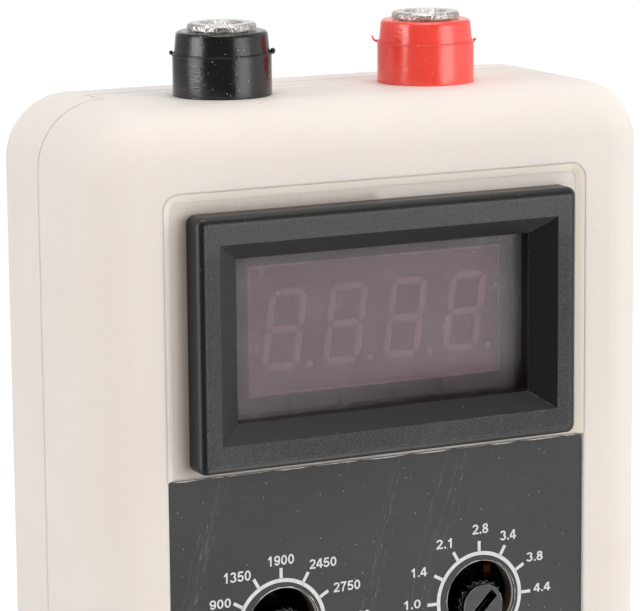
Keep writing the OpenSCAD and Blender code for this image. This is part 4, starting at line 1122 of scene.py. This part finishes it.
def add_button_spring():
    """Coil between the button's cap and the end of its barrel."""
    low, high, middle = stretch_of("test_button_spring")
    steps = STEPS_IN_TURN * SPRING_TURNS
    first, last = high.y - WIRE_R * MM, low.y + WIRE_R * MM
    line = []
    for i in range(steps + 1):
        x, z = on_circle(SPRING_R * MM, i, STEPS_IN_TURN)
        line.append(Vector((middle.x + x, first + (last - first) * i / steps, middle.z + z)))
    shape = bmesh.new()
    tube(shape, line, [WIRE_R * MM] * len(line))
    bmesh.ops.recalc_face_normals(shape, faces=shape.faces)
    spring = add_piece("button_spring", shape, FINISHES["steel"], smooth=True)
    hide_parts("test_button_spring")
    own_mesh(spring)


def add_switch_marks():
    """Line on the upper half of the rocker and ring on the lower one, filled with white."""
    pivot, tilt = Vector(ROCKER_PIVOT), math.radians(ROCKER_LEAN)
    shape = bmesh.new()

    def corner(x, reach, half):
        """A corner on a half's face, a reach away from the rocker's middle, where it stands at rest."""
        y, z = -ROCKER_CREST - reach * math.tan(tilt) - FILLING_RISE, half * reach
        y, z = y * math.cos(tilt) - z * math.sin(tilt), y * math.sin(tilt) + z * math.cos(tilt)
        return shape.verts.new((pivot + Vector((x, y, z))) * MM)

    near, far = LINE_ENDS
    outline = ((-1, near), (1, near), (1, far), (-1, far))
    shape.faces.new([corner(side * LINE_HALF_WIDTH, reach, 1) for side, reach in outline])
    loops = []
    for radius in SWITCH_RING_RADII:
        points = [on_circle(radius, i, SWITCH_RING_STEPS) for i in range(SWITCH_RING_STEPS)]
        loops.append([corner(x, SWITCH_RING_MIDDLE + z, -1) for x, z in points])
    join_loops(shape, loops)
    add_piece("switch_marks", shape, PRINT, body="power_rocker")


# The meter's window

DUST_INSET, DUST_RISE = 0.05 * MM, 0.01 * MM
DUST_COLUMNS, DUST_ROWS = 24, 12


def add_window_dust():
    """Film of fine dust on the meter's filter, thicker along its edges."""
    low, high, _ = stretch_of("meter_window")
    wide, tall = high.x - low.x - 2 * DUST_INSET, high.z - low.z - 2 * DUST_INSET
    shape = sheet(DUST_COLUMNS, DUST_ROWS, lambda across, up: (
        low.x + DUST_INSET + wide * across, low.y - DUST_RISE, low.z + DUST_INSET + tall * up))
    add_piece("window_dust", shape, WINDOW_DUST)


# Stage and light

# Brightness round the tester by azimuth, 0 in front of the panel and 90 to its right: of the room, of its
# low part, and of the floor as gloss shows it
ROOM_SIDES = ((-150, 0.45), (-112, 0.45), (-100, 0.5), (-78, 0.4), (-68, 0.06), (0, 0.06), (14, 0.3),
              (48, 0.4), (75, 0.6), (130, 0.6), (145, 1.0))
FLOOR_SIDES = ((-150, 0.45), (-112, 0.45), (-102, 2.4), (-78, 2.4), (-70, 0.1), (5, 0.1), (13, 3.0),
               (36, 3.0), (48, 0.9), (130, 0.6), (145, 1.0))
ROOM_CEILING = 0.4
FLOOR_REACH, FLOOR_CELLS = 6.0, 24
LAMP_AIM = Vector((0, 0, 0.09))


def round_strength(place, sides):
    """Brightness by the azimuth of a place or direction."""
    azimuth = maths("ARCTAN2", place[0], times(place[1], -1.0))
    shown = put("ValToRGB", {0: maths("MULTIPLY_ADD", azimuth, 0.5 / math.pi, 0.5)})[0]
    stops = shown.node.color_ramp.elements
    for degrees, strength in sides:
        stops.new((degrees + 180) / 360).color = (*grey(strength), 1)
    for end, (_, strength) in ((stops[0], sides[0]), (stops[-1], sides[-1])):
        end.color = (*grey(strength), 1)
    return shown


def make_floor():
    """Pale floor, white to the camera apart from the object's own soft shadow."""
    material = new_finish("pale_floor", Roughness=0.9, Specular_IOR_Level=0.1)
    feed(Base_Color=drift(grey(0.8), grey(0.78), patches=0.004, mottling=0.2))
    rays = put("LightPath")
    white = put("Emission", {"Color": (1, 1, 1, 1), "Strength": 1.12})
    seen = times(rays["Is Camera Ray"], 0.85)
    pale = put("MixShader", {0: seen, 1: principled().outputs[0], 2: white[0]})
    place = put("SeparateXYZ", {0: put("TexCoord")["Object"]})
    glow = put("Emission", {"Color": round_strength(place, FLOOR_SIDES)})
    whole = put("MixShader", {0: rays["Is Glossy Ray"], 1: pale[0], 2: glow[0]})
    link(whole[0], Work.tree.nodes["Material Output"].inputs["Surface"])
    shape = sheet(FLOOR_CELLS, FLOOR_CELLS, lambda across, up: (
        FLOOR_REACH * (2 * across - 1), FLOOR_REACH * (2 * up - 1), 0))
    floor = new_object("floor", shape, material)


def make_world():
    """White to the camera; round the tester a pale room, dark from its front to its left."""
    world = bpy.data.worlds.new("pale_room")
    bpy.context.scene.world = world
    world.use_nodes = True
    Work.tree = world.node_tree
    toward = put("SeparateXYZ", {0: put("TexCoord")["Generated"]})
    low = spread(toward[2], 0.17, 0.24, 1.0, 0.0)
    around = blend(low, *(round_strength(toward, sides) for sides in (ROOM_SIDES, FLOOR_SIDES)))
    room = blend(spread(toward[2], 0.7, 0.92), around, grey(ROOM_CEILING))
    seen = put("LightPath")["Is Camera Ray"]
    link(blend(seen, room, grey(1)), Work.tree.nodes["Background"].inputs["Color"])


def soft_box(name, azimuth, elevation, distance, width, height, power, mirrored=True):
    """Rectangular lamp. Azimuth 0 stands in front of the panel and 90 to its right."""
    lamp = bpy.data.lights.new(name, "AREA")
    lamp.shape = "RECTANGLE"
    lamp.size, lamp.size_y, lamp.energy = width, height, power
    carrier = bpy.data.objects.new(name, lamp)
    a, e = math.radians(azimuth), math.radians(elevation)
    out = Vector((math.sin(a) * math.cos(e), -math.cos(a) * math.cos(e), math.sin(e)))
    carrier.location = LAMP_AIM + out * distance
    carrier.rotation_mode = "QUATERNION"
    carrier.rotation_quaternion = (-out).to_track_quat("-Z", "Y")
    carrier.visible_glossy = mirrored
    bpy.context.scene.collection.objects.link(carrier)


def make_lights():
    soft_box("right_soft_box", 38, 18, distance=1.3, width=1.0, height=1.4, power=8.2, mirrored=False)
    soft_box("left_soft_box", -88, 18, distance=1.3, width=0.6, height=1.1, power=5.4)
    soft_box("top_soft_box", 0, 84, distance=1.4, width=1.0, height=0.8, power=7.4)
    soft_box("front_fill", -24, 12, distance=1.8, width=1.6, height=1.6, power=3.9, mirrored=False)


# Making

make_camera()
dress_cad_nodes()
for number, side in enumerate(HOLES):
    add_dial_scale(side)
    add_dial_numbers(side)
    add_hole_edge(side, random.Random(11 + number))
add_label_edge(random.Random(5))
add_step_slope()
for number, tint in enumerate(SOCKETS):
    add_flash(tint, random.Random(21 + number))
for tint in SOCKETS:
    add_gate_marks(tint)
add_button_spring()
add_switch_marks()
add_window_dust()
make_floor()
make_world()
make_lights()
bpy.context.scene.view_settings.view_transform = "Standard"
